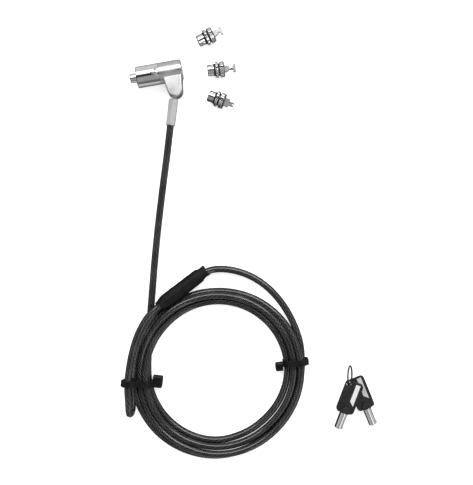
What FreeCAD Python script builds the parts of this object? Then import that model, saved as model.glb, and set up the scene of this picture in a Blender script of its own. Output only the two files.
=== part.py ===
import FreeCAD, Part
import math
import os
import Sketcher

# A laptop cable lock laid out on a table: lock head, steel cable in a tied coil, three tips, two keys.
# Frame: +Z up from the table, +Y the way the cable runs up to the lock head, +X to the right of it.

SIZES = {
    # lock head, measured along its axis from the left end of the barrel
    "barrel_radius": 8.4,
    "body_length": 17.9,
    "head_length": 36.3,
    "swivel_gap": 0.1,
    "running_gap": 0.05,
    "spigot_radius": 7.1,
    "nose_rim_length": 0.75,
    "nose_rim_radius": 7.7,
    "edge_chamfer": 0.5,
    "tip_bore_radius": 6.4,
    "tip_bore_depth": 7.9,
    "shank_bore_radius": 4.65,
    "shank_bore_depth": 5.3,
    "cavity_radius": 5.6,
    "rear_wall": 2.2,
    "web_from_seam": 0.7,
    # push plug with the round keyway
    "plug_radius": 3.65,
    "plug_reach": 5.3,
    "plug_travel": 4.0,
    "keyway_radius": 3.3,
    "post_radius": 2.0,
    "plug_flange_radius": 5.5,
    "plug_length": 9.4,
    "pin_block_radius": 4.6,
    "pin_block_end": 8.6,
    "rotor_length": 3.2,
    "pin_radius": 0.48,
    "pin_circle": 2.65,
    "pin_count": 7,
    "spindle_radius": 2.1,
    "tail_radius": 1.0,
    "post_recess": 0.4,
    "pin_tip": 0.3,
    "driver_length": 2.2,
    "spindle_gap": 0.3,
    "spindle_head_radius": 3.4,
    "drive_side": 1.4,
    "drive_grip": 1.4,
    "blade_length": 1.8,
    "spring_wire": 0.7,
    "spring_turns": 4,
    # stud, pointer and cross pin on the barrel
    "stud_radius": 1.6,
    "stud_shank_radius": 1.0,
    "stud_shank_length": 1.3,
    "stud_sink": 0.3,
    "stud_rise": 0.45,
    "stud_from_seam": 1.7,
    "pointer_length": 5.2,
    "pointer_width": 0.8,
    "pointer_spread": 3.4,
    "pointer_margin": 0.0,
    "pointer_floor": 1.1,
    "cross_pin_x": 11.8,
    "cross_pin_radius": 0.9,
    # swivel collar and its forked lug
    "lug_set_back": 2.4,
    "lug_tip_share": 0.4,
    "lug_tip_shift": 0.3,
    "lug_tip_drop": 15.1,
    "lug_half_height": 6.9,
    "pivot_drop": 14.0,
    "slot_half_height": 2.6,
    "slot_roof": 8.8,
    "lug_root": 2.0,
    "lug_shoulder": 5.0,
    "lug_fillet": 1.2,
    "pivot_cover": 1.5,
    "pivot_radius": 1.5,
    # crimped ferrule
    "tang_half_height": 2.5,
    "tang_half_width": 2.1,
    "tang_eye_radius": 3.6,
    "ferrule_start": 8.2,
    "ferrule_length": 21.0,
    "ferrule_flats": 7.0,
    "ferrule_bevel": 1.0,
    "ferrule_bore_depth": 6.0,
    # cable
    "cable_radius": 2.75,
    "coil_inner": 52.6,
    "coil_outer": 70.4,
    "coil_height": 11.4,
    "coil_round": 4.5,
    # crimp sleeve of the eye
    "sleeve_radius": 5.75,
    "sleeve_length": 47.6,
    "sleeve_wall": 0.6,
    "sleeve_taper": 5.0,
    "sleeve_neck": 4.2,
    "sleeve_mouth": 5.3,
    "crimp_inset": 3.0,
    # ties
    "strap_thickness": 1.2,
    "strap_width": 4.8,
    "strap_gap": 0.1,
    "tie_head_round": 1.0,
    "left_head_depth": 7.8,
    "left_head_width": 9.4,
    "left_head_height": 7.4,
    "right_head_depth": 6.0,
    "right_head_width": 6.8,
    "right_head_height": 6.4,
    # tips
    "tip_base_radius": 4.5,
    "tip_base_length": 5.1,
    "tip_groove_radius": 4.9,
    "tip_rear_start": 6.4,
    "tip_rear_length": 2.2,
    "tip_front_start": 9.8,
    "tip_front_length": 3.0,
    "tip_disc_radius": 6.25,
    "tip_washer_radius": 6.0,
    "tip_washer_length": 0.6,
    "tip_shaft_radius": 1.0,
    "tip_neck_radius": 1.4,
    "tip_core_radius": 3.0,
    "notch_depth": 1.5,
    "guard_length": 3.6,
    "guard_foot": 5.4,
    "guard_end": 3.4,
    "bar_gap": 2.1,
    "small_bar_gap": 3.2,
    "bar_thickness": 2.2,
    "bar_length": 6.7,
    "small_bar_length": 6.2,
    "bar_half_height": 1.45,
    "fork_block_length": 3.8,
    "fork_length": 4.0,
    "fork_leg": 1.1,
    "fork_blade": 1.0,
    "wedge_travel": 1.5,
    # keys and ring
    "bow_length": 26.4,
    "bow_width": 14.2,
    "bow_thickness": 2.4,
    "bow_round": 2.6,
    "bow_hole": 1.95,
    "hole_chamfer": 0.42,
    "hole_from_end": 2.6,
    "hole_from_side": 2.8,
    "key_barrel_radius": 3.2,
    "key_barrel_length": 13.6,
    "key_bore_radius": 2.15,
    "key_bore_depth": 6.0,
    "nib_length": 1.6,
    "nib_width": 1.4,
    "boss_radius": 3.7,
    "boss_rise": 1.6,
    "boss_thickness": 6.0,
    "boss_round": 0.8,
    "label_thickness": 0.3,
    "label_length": 18.0,
    "label_width": 3.5,
    "label_inset": 1.2,
    "label_margin": 2.4,
    "ring_radius": 7.1,
    "ring_wire": 0.65,
}

# where each thing lies: x, y and its turn about +Z in degrees
HEAD_PLACE = (-91.7, 118.5, 10.0)
FERRULE_TURN = -96.8
COIL_CENTER = (-28.0, -113.3)
TIP_PLACES = ((-43.7, 147.5, 26.0), (-36.1, 124.5, 5.6), (-35.3, 104.9, -21.4))
SLEEVE_ENDS = ((-74.9, -62.1, 10.0), (-37.1, -33.2, 6.2))
LEFT_TIE_PLACE = (-29.4, -126.5, 173.8)
RIGHT_TIE_PLACE = (-27.9, -114.4, 5.5)
RING_CENTER = (76.36, -116.0)
RING_LEAN = 22.0
KEY_TURNS = {"front": -108.4, "back": -67.7}
# how far up or down the ring each key hangs, in parts of the ring's own radius
KEY_RISES = {"front": 0.47, "back": -0.32}

# the cable's free stretches, point by point: x, y, z
LEAD_POINTS = (
    (-65.94, 74.8, 8.4),
    (-67.8, 60.2, 6.6),
    (-70.6, 41.5, 3.6),
    (-73.1, 22.4, 2.9),
    (-76.1, -3.0, 2.75),
    (-78.6, -29.2, 2.75),
    (-80.2, -50.2, 2.75),
    (-80.8, -63.2, 2.75),
)
TAIL_POINTS = (
    (36.7, -87.5, 2.75),
    (31.5, -73.5, 2.75),
    (23.7, -60.1, 2.75),
    (13.1, -47.8, 2.75),
    (-0.6, -38.2, 2.75),
    (-15.8, -33.0, 3.4),
    (-30.4, -32.0, 5.2),
)
EYE_POINTS = (
    (-79.3, -68.2, 8.1),
    (-86.7, -80.4, 9.3),
    (-92.4, -94.6, 9.7),
    (-95.2, -110.7, 9.5),
    (-95.7, -123.7, 8.2),
    (-95.7, -135.7, 3.4),
    (-96.1, -146.1, 3.2),
    (-96.8, -146.1, 15.2),
    (-97.1, -135.7, 15.6),
    (-98.2, -123.5, 14.8),
    (-96.9, -110.6, 15.1),
    (-93.8, -94.1, 14.9),
    (-88.6, -79.3, 14.2),
    (-81.4, -67.7, 13.2),
)
# what each tie's band goes round, in its own upright section: distance from the tie's origin, height
LEFT_BAND = (
    (51.6, 1.3),
    (51.6, 9.0),
    (54.5, 12.9),
    (62.6, 13.4),
    (65.8, 17.9),
    (70.9, 18.3),
    (72.9, 15.0),
    (70.2, 1.3),
)
RIGHT_BAND = ((53.0, 1.3), (53.0, 9.0), (56.0, 12.9), (67.5, 12.9), (71.0, 9.0), (71.0, 1.3))

doc = FreeCAD.newDocument("CableLock")
sheet = doc.addObject("Spreadsheet::Sheet", "Sizes")
for row, (alias, number) in enumerate(SIZES.items(), start=1):
    sheet.set(f"A{row}", str(number))
    sheet.setAlias(f"A{row}", alias)
doc.recompute()


class Size:
    """A length: its number, and the sheet expression that gives the same number."""

    def __init__(self, number, text):
        self.number = number
        self.text = text

    def join(self, other, sign, number):
        text = other.text if isinstance(other, Size) else repr(other)
        return Size(number, f"({self.text} {sign} {text})")

    def __add__(self, other):
        return self.join(other, "+", self.number + value(other))

    def __sub__(self, other):
        return self.join(other, "-", self.number - value(other))

    def __mul__(self, other):
        return self.join(other, "*", self.number * value(other))

    def __truediv__(self, other):
        return self.join(other, "/", self.number / value(other))

    def __neg__(self):
        return Size(-self.number, f"(0 - {self.text})")


class Sheet:
    """The driving dimensions by name."""

    def __getattr__(self, alias):
        return Size(float(sheet.get(alias)), f"Sizes.{alias}")


s = Sheet()
nodes = []


def value(size):
    return size.number if isinstance(size, Size) else size


def bind(thing, prop, size):
    """Set a property, or tie it to the sheet where the size comes from there."""
    if isinstance(size, Size):
        thing.setExpression(prop, size.text)
    else:
        setattr(thing, prop, size)


def frame(x, y, z, turn, pitch=0.0):
    """A placement with its X axis turned about +Z, then tipped down by the pitch."""
    turned = FreeCAD.Rotation(FreeCAD.Vector(0, 0, 1), turn)
    tipped = FreeCAD.Rotation(FreeCAD.Vector(0, 1, 0), pitch)
    return FreeCAD.Placement(FreeCAD.Vector(x, y, z), turned * tipped)


def keep(thing, name, placement=None):
    """Name a finished sub-part, place it and list it for export."""
    thing.Label = name
    if placement is not None:
        thing.Placement = placement
    nodes.append(thing)
    return thing


def new_body(name):
    return doc.addObject("PartDesign::Body", f"{name}_body")


def origin_plane(body, role):
    return next(feature for feature in body.Origin.OriginFeatures if feature.Role == role)


def new_sketch(body, name, role, offset=0.0):
    """A sketch on one of the body's own origin planes, moved along the plane's normal."""
    sketch = body.newObject("Sketcher::SketchObject", f"{name}_sketch")
    sketch.AttachmentSupport = [(origin_plane(body, role), "")]
    sketch.MapMode = "FlatFace"
    if isinstance(offset, Size):
        sketch.setExpression("AttachmentOffset.Base.z", offset.text)
    else:
        sketch.AttachmentOffset = FreeCAD.Placement(FreeCAD.Vector(0, 0, offset), FreeCAD.Rotation())
    return sketch


def constrain(sketch, kind, geometry, corner, size):
    """Hold a point's distance from the sketch's origin along one axis."""
    index = sketch.addConstraint(Sketcher.Constraint(kind, -1, 1, geometry, corner, value(size)))
    if isinstance(size, Size):
        sketch.setExpression(f"Constraints[{index}]", size.text)


def hold(sketch, geometry, corner, x, y):
    """Hold a point at x, y; a zero puts it on the axis."""
    if value(x) == 0:
        sketch.addConstraint(Sketcher.Constraint("PointOnObject", geometry, corner, -2))
    else:
        constrain(sketch, "DistanceX", geometry, corner, x)
    if value(y) == 0:
        sketch.addConstraint(Sketcher.Constraint("PointOnObject", geometry, corner, -1))
    else:
        constrain(sketch, "DistanceY", geometry, corner, y)


def polygon(sketch, points):
    """A closed outline through the points."""
    spots = [FreeCAD.Vector(value(x), value(y), 0) for x, y in points]
    first = sketch.GeometryCount
    count = len(spots)
    for i in range(count):
        sketch.addGeometry(Part.LineSegment(spots[i], spots[(i + 1) % count]))
    for i in range(count):
        sketch.addConstraint(Sketcher.Constraint("Coincident", first + i, 2, first + (i + 1) % count, 1))
    for i, (x, y) in enumerate(points):
        hold(sketch, first + i, 1, x, y)


def circle(sketch, x, y, radius):
    spot = FreeCAD.Vector(value(x), value(y), 0)
    index = sketch.addGeometry(Part.Circle(spot, FreeCAD.Vector(0, 0, 1), value(radius)))
    hold(sketch, index, 3, x, y)
    dimension = sketch.addConstraint(Sketcher.Constraint("Radius", index, value(radius)))
    if isinstance(radius, Size):
        sketch.setExpression(f"Constraints[{dimension}]", radius.text)


def revolve(body, name, profile):
    """Turn an outline, given as distances along and from the axis, about the body's X axis."""
    sketch = new_sketch(body, name, "XZ_Plane")
    polygon(sketch, profile)
    turned = body.newObject("PartDesign::Revolution", f"{name}_revolution")
    turned.Profile = sketch
    turned.ReferenceAxis = (sketch, ["H_Axis"])
    turned.Angle = 360
    return turned


def pad(body, name, role, shape, length, offset=0.0, both=False):
    """Pad what shape(sketch) draws on a plane, along its normal, or to both sides of it."""
    sketch = new_sketch(body, name, role, offset)
    shape(sketch)
    block = body.newObject("PartDesign::Pad", f"{name}_pad")
    block.Profile = sketch
    bind(block, "Length", length)
    block.Midplane = both
    return block


def pocket(body, name, role, shape, length=None, offset=0.0, reverse=False):
    """Cut what shape(sketch) draws: right through to both sides, or to a depth one way."""
    doc.recompute()
    before = body.Tip.Shape.Volume
    sketch = new_sketch(body, name, role, offset)
    shape(sketch)
    cut = body.newObject("PartDesign::Pocket", f"{name}_pocket")
    cut.Profile = sketch
    if length is None:
        cut.Midplane = True
        cut.Type = "ThroughAll"
    else:
        bind(cut, "Length", length)
        cut.Reversed = reverse
    doc.recompute()
    if cut.Shape.Volume > before - 1e-3:
        raise RuntimeError(f"{name} cuts nothing")
    return cut


def turned_part(name, profile, placement):
    """A sub-part that is one turned solid."""
    body = new_body(name)
    revolve(body, name, profile)
    return keep(body, name, placement)


def edges_where(feature, test):
    """Names of the feature's edges whose middle passes the test."""
    doc.recompute()
    found = []
    for index, edge in enumerate(feature.Shape.Edges, start=1):
        middle = edge.valueAt((edge.FirstParameter + edge.LastParameter) / 2)
        if test(middle, edge):
            found.append(f"Edge{index}")
    return found


def around(count, radius, start=0.0):
    """Evenly spaced points of a circle in the Y-Z plane."""
    return [
        (radius * math.cos(start + math.tau * i / count), radius * math.sin(start + math.tau * i / count))
        for i in range(count)
    ]


def pin_group(name, begin, end, radius, placement):
    """The tumbler positions' pins: one cylinder each, on the pin circle, along the axis."""
    pins = []
    for i, (y, z) in enumerate(around(int(value(s.pin_count)), value(s.pin_circle))):
        pin = doc.addObject("Part::Cylinder", f"{name}_{i + 1}")
        bind(pin, "Radius", radius)
        bind(pin, "Height", end - begin)
        pin.Placement = FreeCAD.Placement(
            FreeCAD.Vector(value(begin), y, z), FreeCAD.Rotation(FreeCAD.Vector(0, 1, 0), 90)
        )
        pins.append(pin)
    group = doc.addObject("Part::Compound", f"{name}_group")
    group.Links = pins
    return keep(group, name, placement)


def rounded_path(points):
    """Straight runs joined by tangent arcs, each as large as its two runs allow."""
    spots = [FreeCAD.Vector(*p) for p in points]
    edges = []
    radii = []
    begin = spots[0]
    for before, corner, after in zip(spots, spots[1:], spots[2:]):
        way_in = (corner - before).normalize()
        way_out = (after - corner).normalize()
        turn = way_in.getAngle(way_out)
        reach = 0.45 * min((corner - before).Length, (after - corner).Length)
        radii.append(round(reach / math.tan(turn / 2), 1))
        arc_begin = corner - way_in * reach
        arc_end = corner + way_out * reach
        inward = (way_out - way_in).normalize()
        sagitta = reach * math.cos(turn / 2) * math.tan(turn / 4)
        chord_middle = (arc_begin + arc_end) * 0.5
        edges.append(Part.LineSegment(begin, arc_begin).toShape())
        edges.append(Part.Arc(arc_begin, chord_middle - inward * sagitta, arc_end).toShape())
        begin = arc_end
    edges.append(Part.LineSegment(begin, spots[-1]).toShape())
    return Part.Wire(edges), radii


def cable(name, points):
    """A stretch of the cable as a plain round tube."""
    path, radii = rounded_path(points)
    first = path.Edges[0]
    start = first.valueAt(first.FirstParameter)
    along = first.tangentAt(first.FirstParameter)
    section = Part.Wire([Part.Circle(start, along, value(s.cable_radius)).toShape()])
    solid = path.makePipeShell([section], True, False)
    expected = math.pi * value(s.cable_radius) ** 2 * path.Length
    print(f"{name}: length {path.Length:.1f}, radii {radii}, volume ratio {solid.Volume / expected:.4f}")
    part = doc.addObject("Part::Feature", f"{name}_feature")
    part.Shape = solid
    return keep(part, name)


head_frame = frame(HEAD_PLACE[0], HEAD_PLACE[1], value(s.barrel_radius), HEAD_PLACE[2])
nose_end = s.head_length - s.nose_rim_length
web_start = s.body_length - s.web_from_seam
lug_left = s.body_length + s.swivel_gap + s.lug_set_back
lug_right = nose_end - s.swivel_gap - s.running_gap
lug_center = (lug_left + lug_right) / 2
lug_tip_radius = (lug_right - lug_left) * s.lug_tip_share
spindle_start = s.pin_block_end + s.plug_travel + s.spindle_gap
pivot =head_frame.multVec(FreeCAD.Vector(value(lug_center), -value(s.pivot_drop), 0))
ferrule_frame = frame(pivot.x, pivot.y, pivot.z, FERRULE_TURN)


def lock_body():
    """The barrel with its cavity for the cylinder, the swivel's spigot and the stepped tip socket."""
    tip_floor = nose_end - s.tip_bore_depth
    shank_floor = tip_floor - s.shank_bore_depth
    plug_bore = s.plug_radius + s.running_gap
    spindle_bore = s.spindle_radius + s.running_gap
    body = new_body("lock_body")
    revolve(
        body,
        "lock_body",
        [
            (0, plug_bore),
            (0, s.barrel_radius - s.edge_chamfer),
            (s.edge_chamfer, s.barrel_radius),
            (s.body_length, s.barrel_radius),
            (s.body_length, s.spigot_radius),
            (nose_end, s.spigot_radius),
            (nose_end, s.tip_bore_radius),
            (tip_floor, s.tip_bore_radius),
            (tip_floor, s.shank_bore_radius),
            (shank_floor, s.shank_bore_radius),
            (shank_floor, spindle_bore),
            (web_start, spindle_bore),
            (web_start, s.cavity_radius),
            (s.rear_wall, s.cavity_radius),
            (s.rear_wall, plug_bore),
        ],
    )
    seat = s.barrel_radius - s.stud_sink
    stud_x = s.body_length - s.stud_from_seam
    reach = s.barrel_radius

    def stud_seat(sketch):
        circle(sketch, stud_x, 0, s.stud_radius + s.running_gap)

    def stud_hole(sketch):
        circle(sketch, stud_x, 0, s.stud_shank_radius + s.running_gap)

    pocket(body, "stud_seat", "XY_Plane", stud_seat, reach, seat, True)
    pocket(body, "stud_hole", "XY_Plane", stud_hole, reach, seat - s.stud_shank_length, True)
    arrow = s.pointer_width
    apex = stud_x - s.pointer_length
    seam = s.body_length - s.pointer_margin

    def pointer(sketch):
        """A V open towards the seam, with the stud between its arms."""
        polygon(
            sketch,
            [
                (apex, 0),
                (seam, s.pointer_spread),
                (seam, s.pointer_spread - arrow),
                (apex + arrow * 2, 0),
                (seam, arrow - s.pointer_spread),
                (seam, -s.pointer_spread),
            ],
        )

    pocket(body, "pointer", "XY_Plane", pointer, reach, s.barrel_radius - s.pointer_floor, True)
    pocket(
        body,
        "cross_hole",
        "XZ_Plane",
        lambda k: circle(k, s.cross_pin_x, 0, s.cross_pin_radius + s.running_gap),
        s.barrel_radius + 1,
        0.0,
        True,
    )
    keep(body, "lock_body", head_frame)


def head_details():
    """What is fixed to the lock body: nose rim, domed stud and the cross pin that holds the cylinder."""
    turned_part(
        "nose_rim",
        [
            (nose_end, s.tip_bore_radius + s.swivel_gap),
            (nose_end, s.nose_rim_radius),
            (s.head_length - s.edge_chamfer, s.nose_rim_radius),
            (s.head_length, s.nose_rim_radius - s.edge_chamfer),
            (s.head_length, s.tip_bore_radius + s.swivel_gap),
        ],
        head_frame,
    )
    foot = value(s.barrel_radius - s.stud_sink - s.stud_shank_length)
    stud_x = value(s.body_length - s.stud_from_seam)
    upwards = FreeCAD.Rotation(FreeCAD.Vector(0, 1, 0), -90)
    upright = FreeCAD.Placement(FreeCAD.Vector(stud_x, 0, foot), upwards)
    turned_part(
        "index_stud",
        [
            (s.swivel_gap, 0),
            (s.swivel_gap, s.stud_shank_radius),
            (s.stud_shank_length, s.stud_shank_radius),
            (s.stud_shank_length, s.stud_radius),
            (s.stud_shank_length + s.stud_sink, s.stud_radius),
            (s.stud_shank_length + s.stud_sink + s.stud_rise * 0.6, s.stud_radius * 0.7),
            (s.stud_shank_length + s.stud_sink + s.stud_rise, s.stud_radius * 0.3),
            (s.stud_shank_length + s.stud_sink + s.stud_rise, 0),
        ],
        head_frame * upright,
    )
    pin = doc.addObject("Part::Cylinder", "cross_pin_solid")
    bind(pin, "Radius", s.cross_pin_radius)
    bind(pin, "Height", s.barrel_radius - s.cavity_radius - s.swivel_gap * 2)
    across = FreeCAD.Placement(
        FreeCAD.Vector(value(s.cross_pin_x), -value(s.cavity_radius + s.swivel_gap), 0),
        FreeCAD.Rotation(FreeCAD.Vector(1, 0, 0), 90),
    )
    keep(pin, "cross_pin", head_frame * across)


def pin_holes(sketch):
    """The round holes that the tumbler pins run in."""
    for y, z in around(int(value(s.pin_count)), value(s.pin_circle)):
        circle(sketch, y, z, s.pin_radius + s.running_gap / 2)


def plug_sleeve():
    """The plug's outer tube, slit for the key's nib, which turns a quarter round at the bottom."""
    body = new_body("plug_sleeve")
    sleeve_end = s.plug_length - s.plug_reach
    flange = s.rear_wall + s.swivel_gap
    revolve(
        body,
        "plug_sleeve",
        [
            (-s.plug_reach, s.keyway_radius),
            (-s.plug_reach, s.plug_radius - s.swivel_gap),
            (-s.plug_reach + s.swivel_gap, s.plug_radius),
            (flange, s.plug_radius),
            (flange, s.plug_flange_radius),
            (sleeve_end, s.plug_flange_radius),
            (sleeve_end, s.keyway_radius),
        ],
    )
    wide = s.nib_width / 2 + s.running_gap
    far = s.plug_flange_radius

    def slit(sketch):
        polygon(sketch, [(-wide, 0), (wide, 0), (wide, -far), (-wide, -far)])

    def quarter(sketch):
        polygon(sketch, [(-wide, wide), (far, wide), (far, -far), (-wide, -far)])

    pocket(body, "nib_slit", "YZ_Plane", slit, s.plug_reach, 0.0)
    pocket(body, "nib_quarter", "YZ_Plane", quarter, s.nib_length + s.swivel_gap, 0.0)
    keep(body, "plug_sleeve", head_frame)


def square(half):
    """Draws a square about the axis."""
    return lambda sketch: polygon(sketch, [(-half, -half), (half, -half), (half, half), (-half, half)])


def key_plug():
    """Inside the plug's sleeve: rotor with its centre post, fixed pin block, pins and their springs."""
    sleeve_end = s.plug_length - s.plug_reach
    rotor = new_body("plug_rotor")
    rotor_radius = s.keyway_radius - s.running_gap
    tail_end = s.pin_block_end - s.post_recess
    revolve(
        rotor,
        "plug_rotor",
        [
            (-s.plug_reach + s.post_recess, 0),
            (-s.plug_reach + s.post_recess, s.post_radius),
            (0, s.post_radius),
            (0, rotor_radius),
            (s.rotor_length, rotor_radius),
            (s.rotor_length, s.tail_radius),
            (tail_end, s.tail_radius),
            (tail_end, 0),
        ],
    )
    drive_length = spindle_start + s.drive_grip - tail_end
    pad(rotor, "rotor_drive", "YZ_Plane", square(s.drive_side / 2), drive_length, tail_end)
    pocket(rotor, "rotor_pin_holes", "YZ_Plane", pin_holes, s.rotor_length + 1, s.rotor_length + 1)
    keep(rotor, "plug_rotor", head_frame)
    block = new_body("pin_block")
    block_start = s.rotor_length + s.running_gap
    revolve(
        block,
        "pin_block",
        [
            (block_start, s.tail_radius + s.running_gap),
            (block_start, rotor_radius),
            (sleeve_end, rotor_radius),
            (sleeve_end, s.pin_block_radius),
            (s.pin_block_end, s.pin_block_radius),
            (s.pin_block_end, s.tail_radius + s.running_gap),
        ],
    )
    spring_floor = s.pin_block_end - s.rear_wall / 2
    pocket(block, "block_pin_holes", "YZ_Plane", pin_holes, s.pin_block_end, spring_floor)
    keep(block, "pin_block", head_frame)
    shear = s.rotor_length + s.running_gap / 2
    driver_end = shear + s.driver_length
    pin_group("tumbler_pins", -s.pin_tip, shear - s.running_gap / 2, s.pin_radius, head_frame)
    pin_group("driver_pins", shear + s.running_gap / 2, driver_end, s.pin_radius, head_frame)
    spring_stop = spring_floor - s.running_gap
    pin_group("pin_springs", driver_end + s.running_gap, spring_stop, s.pin_radius * 0.9, head_frame)


def helix_spring(name, begin, end, mean_radius, wire, turns):
    """An open coil spring along the head's axis."""
    height = value(end - begin) - value(wire)
    path = Part.makeHelix(height / turns, height, value(mean_radius))
    start = path.Edges[0].valueAt(path.Edges[0].FirstParameter)
    along = path.Edges[0].tangentAt(path.Edges[0].FirstParameter)
    section = Part.Wire([Part.Circle(start, along, value(wire) / 2).toShape()])
    spring = Part.Wire(path.Edges).makePipeShell([section], True, True)
    part = doc.addObject("Part::Feature", f"{name}_feature")
    part.Shape = spring
    lie = FreeCAD.Placement(
        FreeCAD.Vector(value(begin) + value(wire) / 2, 0, 0), FreeCAD.Rotation(FreeCAD.Vector(0, 1, 0), 90)
    )
    return keep(part, name, head_frame * lie)


def drive_train():
    """The plug's return spring and the spindle that turns the tip."""
    spindle = new_body("drive_spindle")
    shoulder = web_start - s.swivel_gap
    shank_floor = nose_end - s.tip_bore_depth - s.shank_bore_depth
    blade_start = shank_floor + s.swivel_gap
    revolve(
        spindle,
        "drive_spindle",
        [
            (spindle_start, 0),
            (spindle_start, s.spindle_head_radius),
            (shoulder, s.spindle_head_radius),
            (shoulder, s.spindle_radius),
            (blade_start, s.spindle_radius),
            (blade_start, 0),
        ],
    )
    socket_depth = s.drive_grip + s.plug_travel + s.spindle_gap
    socket = square(s.drive_side / 2 + s.running_gap)
    pocket(spindle, "drive_socket", "YZ_Plane", socket, socket_depth, spindle_start + socket_depth)

    def blade(sketch):
        wide = s.spindle_radius * 0.8
        thick = s.spindle_radius * 0.28
        polygon(sketch, [(-wide, -thick), (wide, -thick), (wide, thick), (-wide, thick)])

    pad(spindle, "spindle_blade", "YZ_Plane", blade, s.blade_length, blade_start)
    keep(spindle, "drive_spindle", head_frame)
    helix_spring(
        "plug_spring",
        s.pin_block_end + s.swivel_gap,
        web_start - s.swivel_gap,
        (s.cavity_radius + s.spindle_head_radius) / 2,
        s.spring_wire,
        int(value(s.spring_turns)),
    )


def touch_angle(corner, center, radius, side):
    """Where a line from the corner touches the circle, as an angle about its centre."""
    away = corner - center
    return math.atan2(away.y, away.x) + side * math.acos(radius / away.Length)


def swivel_yoke():
    """The collar that turns on the lock body, with the forked lug that holds the ferrule."""
    body = new_body("swivel_yoke")

    def lug(sketch):
        """Straight sides that draw in to a round end below the pivot."""
        corners = [
            (lug_left, -s.lug_shoulder),
            (lug_left, -s.lug_root),
            (lug_right, -s.lug_root),
            (lug_right, -s.lug_shoulder),
        ]
        spots = [FreeCAD.Vector(value(x), value(y), 0) for x, y in corners]
        tip_x = lug_center + s.lug_tip_shift
        center = FreeCAD.Vector(value(tip_x), -value(s.lug_tip_drop), 0)
        left_angle = touch_angle(spots[0], center, value(lug_tip_radius), 1)
        right_angle = touch_angle(spots[-1], center, value(lug_tip_radius), -1)
        round_end = Part.Circle(center, FreeCAD.Vector(0, 0, 1), value(lug_tip_radius))
        ends = [round_end.value(left_angle), round_end.value(right_angle)]
        chain = [ends[0], *spots, ends[1]]
        for a, b in zip(chain, chain[1:]):
            sketch.addGeometry(Part.LineSegment(a, b))
        arc = sketch.addGeometry(Part.ArcOfCircle(round_end, left_angle, right_angle + math.tau))
        for i in range(len(chain) - 2):
            sketch.addConstraint(Sketcher.Constraint("Coincident", i, 2, i + 1, 1))
        for i, (x, y) in enumerate(corners, start=1):
            hold(sketch, i, 1, x, y)
        hold(sketch, arc, 3, tip_x, -s.lug_tip_drop)
        size = sketch.addConstraint(Sketcher.Constraint("Radius", arc, value(lug_tip_radius)))
        sketch.setExpression(f"Constraints[{size}]", lug_tip_radius.text)
        sketch.addConstraint(Sketcher.Constraint("Tangent", arc, 1, 0, 1))
        sketch.addConstraint(Sketcher.Constraint("Tangent", arc, 2, len(chain) - 2, 2))

    block = pad(body, "lug", "XY_Plane", lug, s.lug_half_height * 2, both=True)
    high = value(s.lug_half_height)
    top = -value(s.lug_root) - 1e-3
    rims = edges_where(block, lambda m, e: abs(abs(m.z) - high) < 1e-3 and m.y < top)
    rounded = body.newObject("PartDesign::Fillet", "lug_rounding")
    rounded.Base = (block, rims)
    bind(rounded, "Radius", s.lug_fillet)
    start = s.body_length + s.swivel_gap
    stop = nose_end - s.swivel_gap
    revolve(
        body,
        "swivel_collar",
        [
            (start, s.spigot_radius + s.running_gap),
            (start, s.barrel_radius - s.swivel_gap),
            (start + s.swivel_gap, s.barrel_radius),
            (stop, s.barrel_radius),
            (stop, s.spigot_radius + s.running_gap),
        ],
    )

    def bore(sketch):
        circle(sketch, 0, 0, s.spigot_radius + s.running_gap)

    pocket(body, "collar_bore", "YZ_Plane", bore)
    far = s.lug_tip_drop + lug_tip_radius + 1

    def slot(sketch):
        high = s.slot_half_height
        polygon(sketch, [(-far, -high), (-s.slot_roof, -high), (-s.slot_roof, high), (-far, high)])

    pocket(body, "fork_slot", "YZ_Plane", slot)
    pocket(
        body,
        "pivot_hole",
        "XY_Plane",
        lambda k: circle(k, lug_center, -s.pivot_drop, s.pivot_radius + s.running_gap),
        s.lug_half_height * 2,
        s.lug_half_height - s.pivot_cover,
    )
    keep(body, "swivel_yoke", head_frame)
    pin = doc.addObject("Part::Cylinder", "pivot_pin_solid")
    bind(pin, "Radius", s.pivot_radius)
    bind(pin, "Height", s.lug_half_height * 2 - s.pivot_cover - s.swivel_gap * 2)
    foot = FreeCAD.Vector(value(lug_center), -value(s.pivot_drop), -value(s.lug_half_height - s.swivel_gap))
    keep(pin, "pivot_pin", head_frame * FreeCAD.Placement(foot, FreeCAD.Rotation()))


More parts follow.
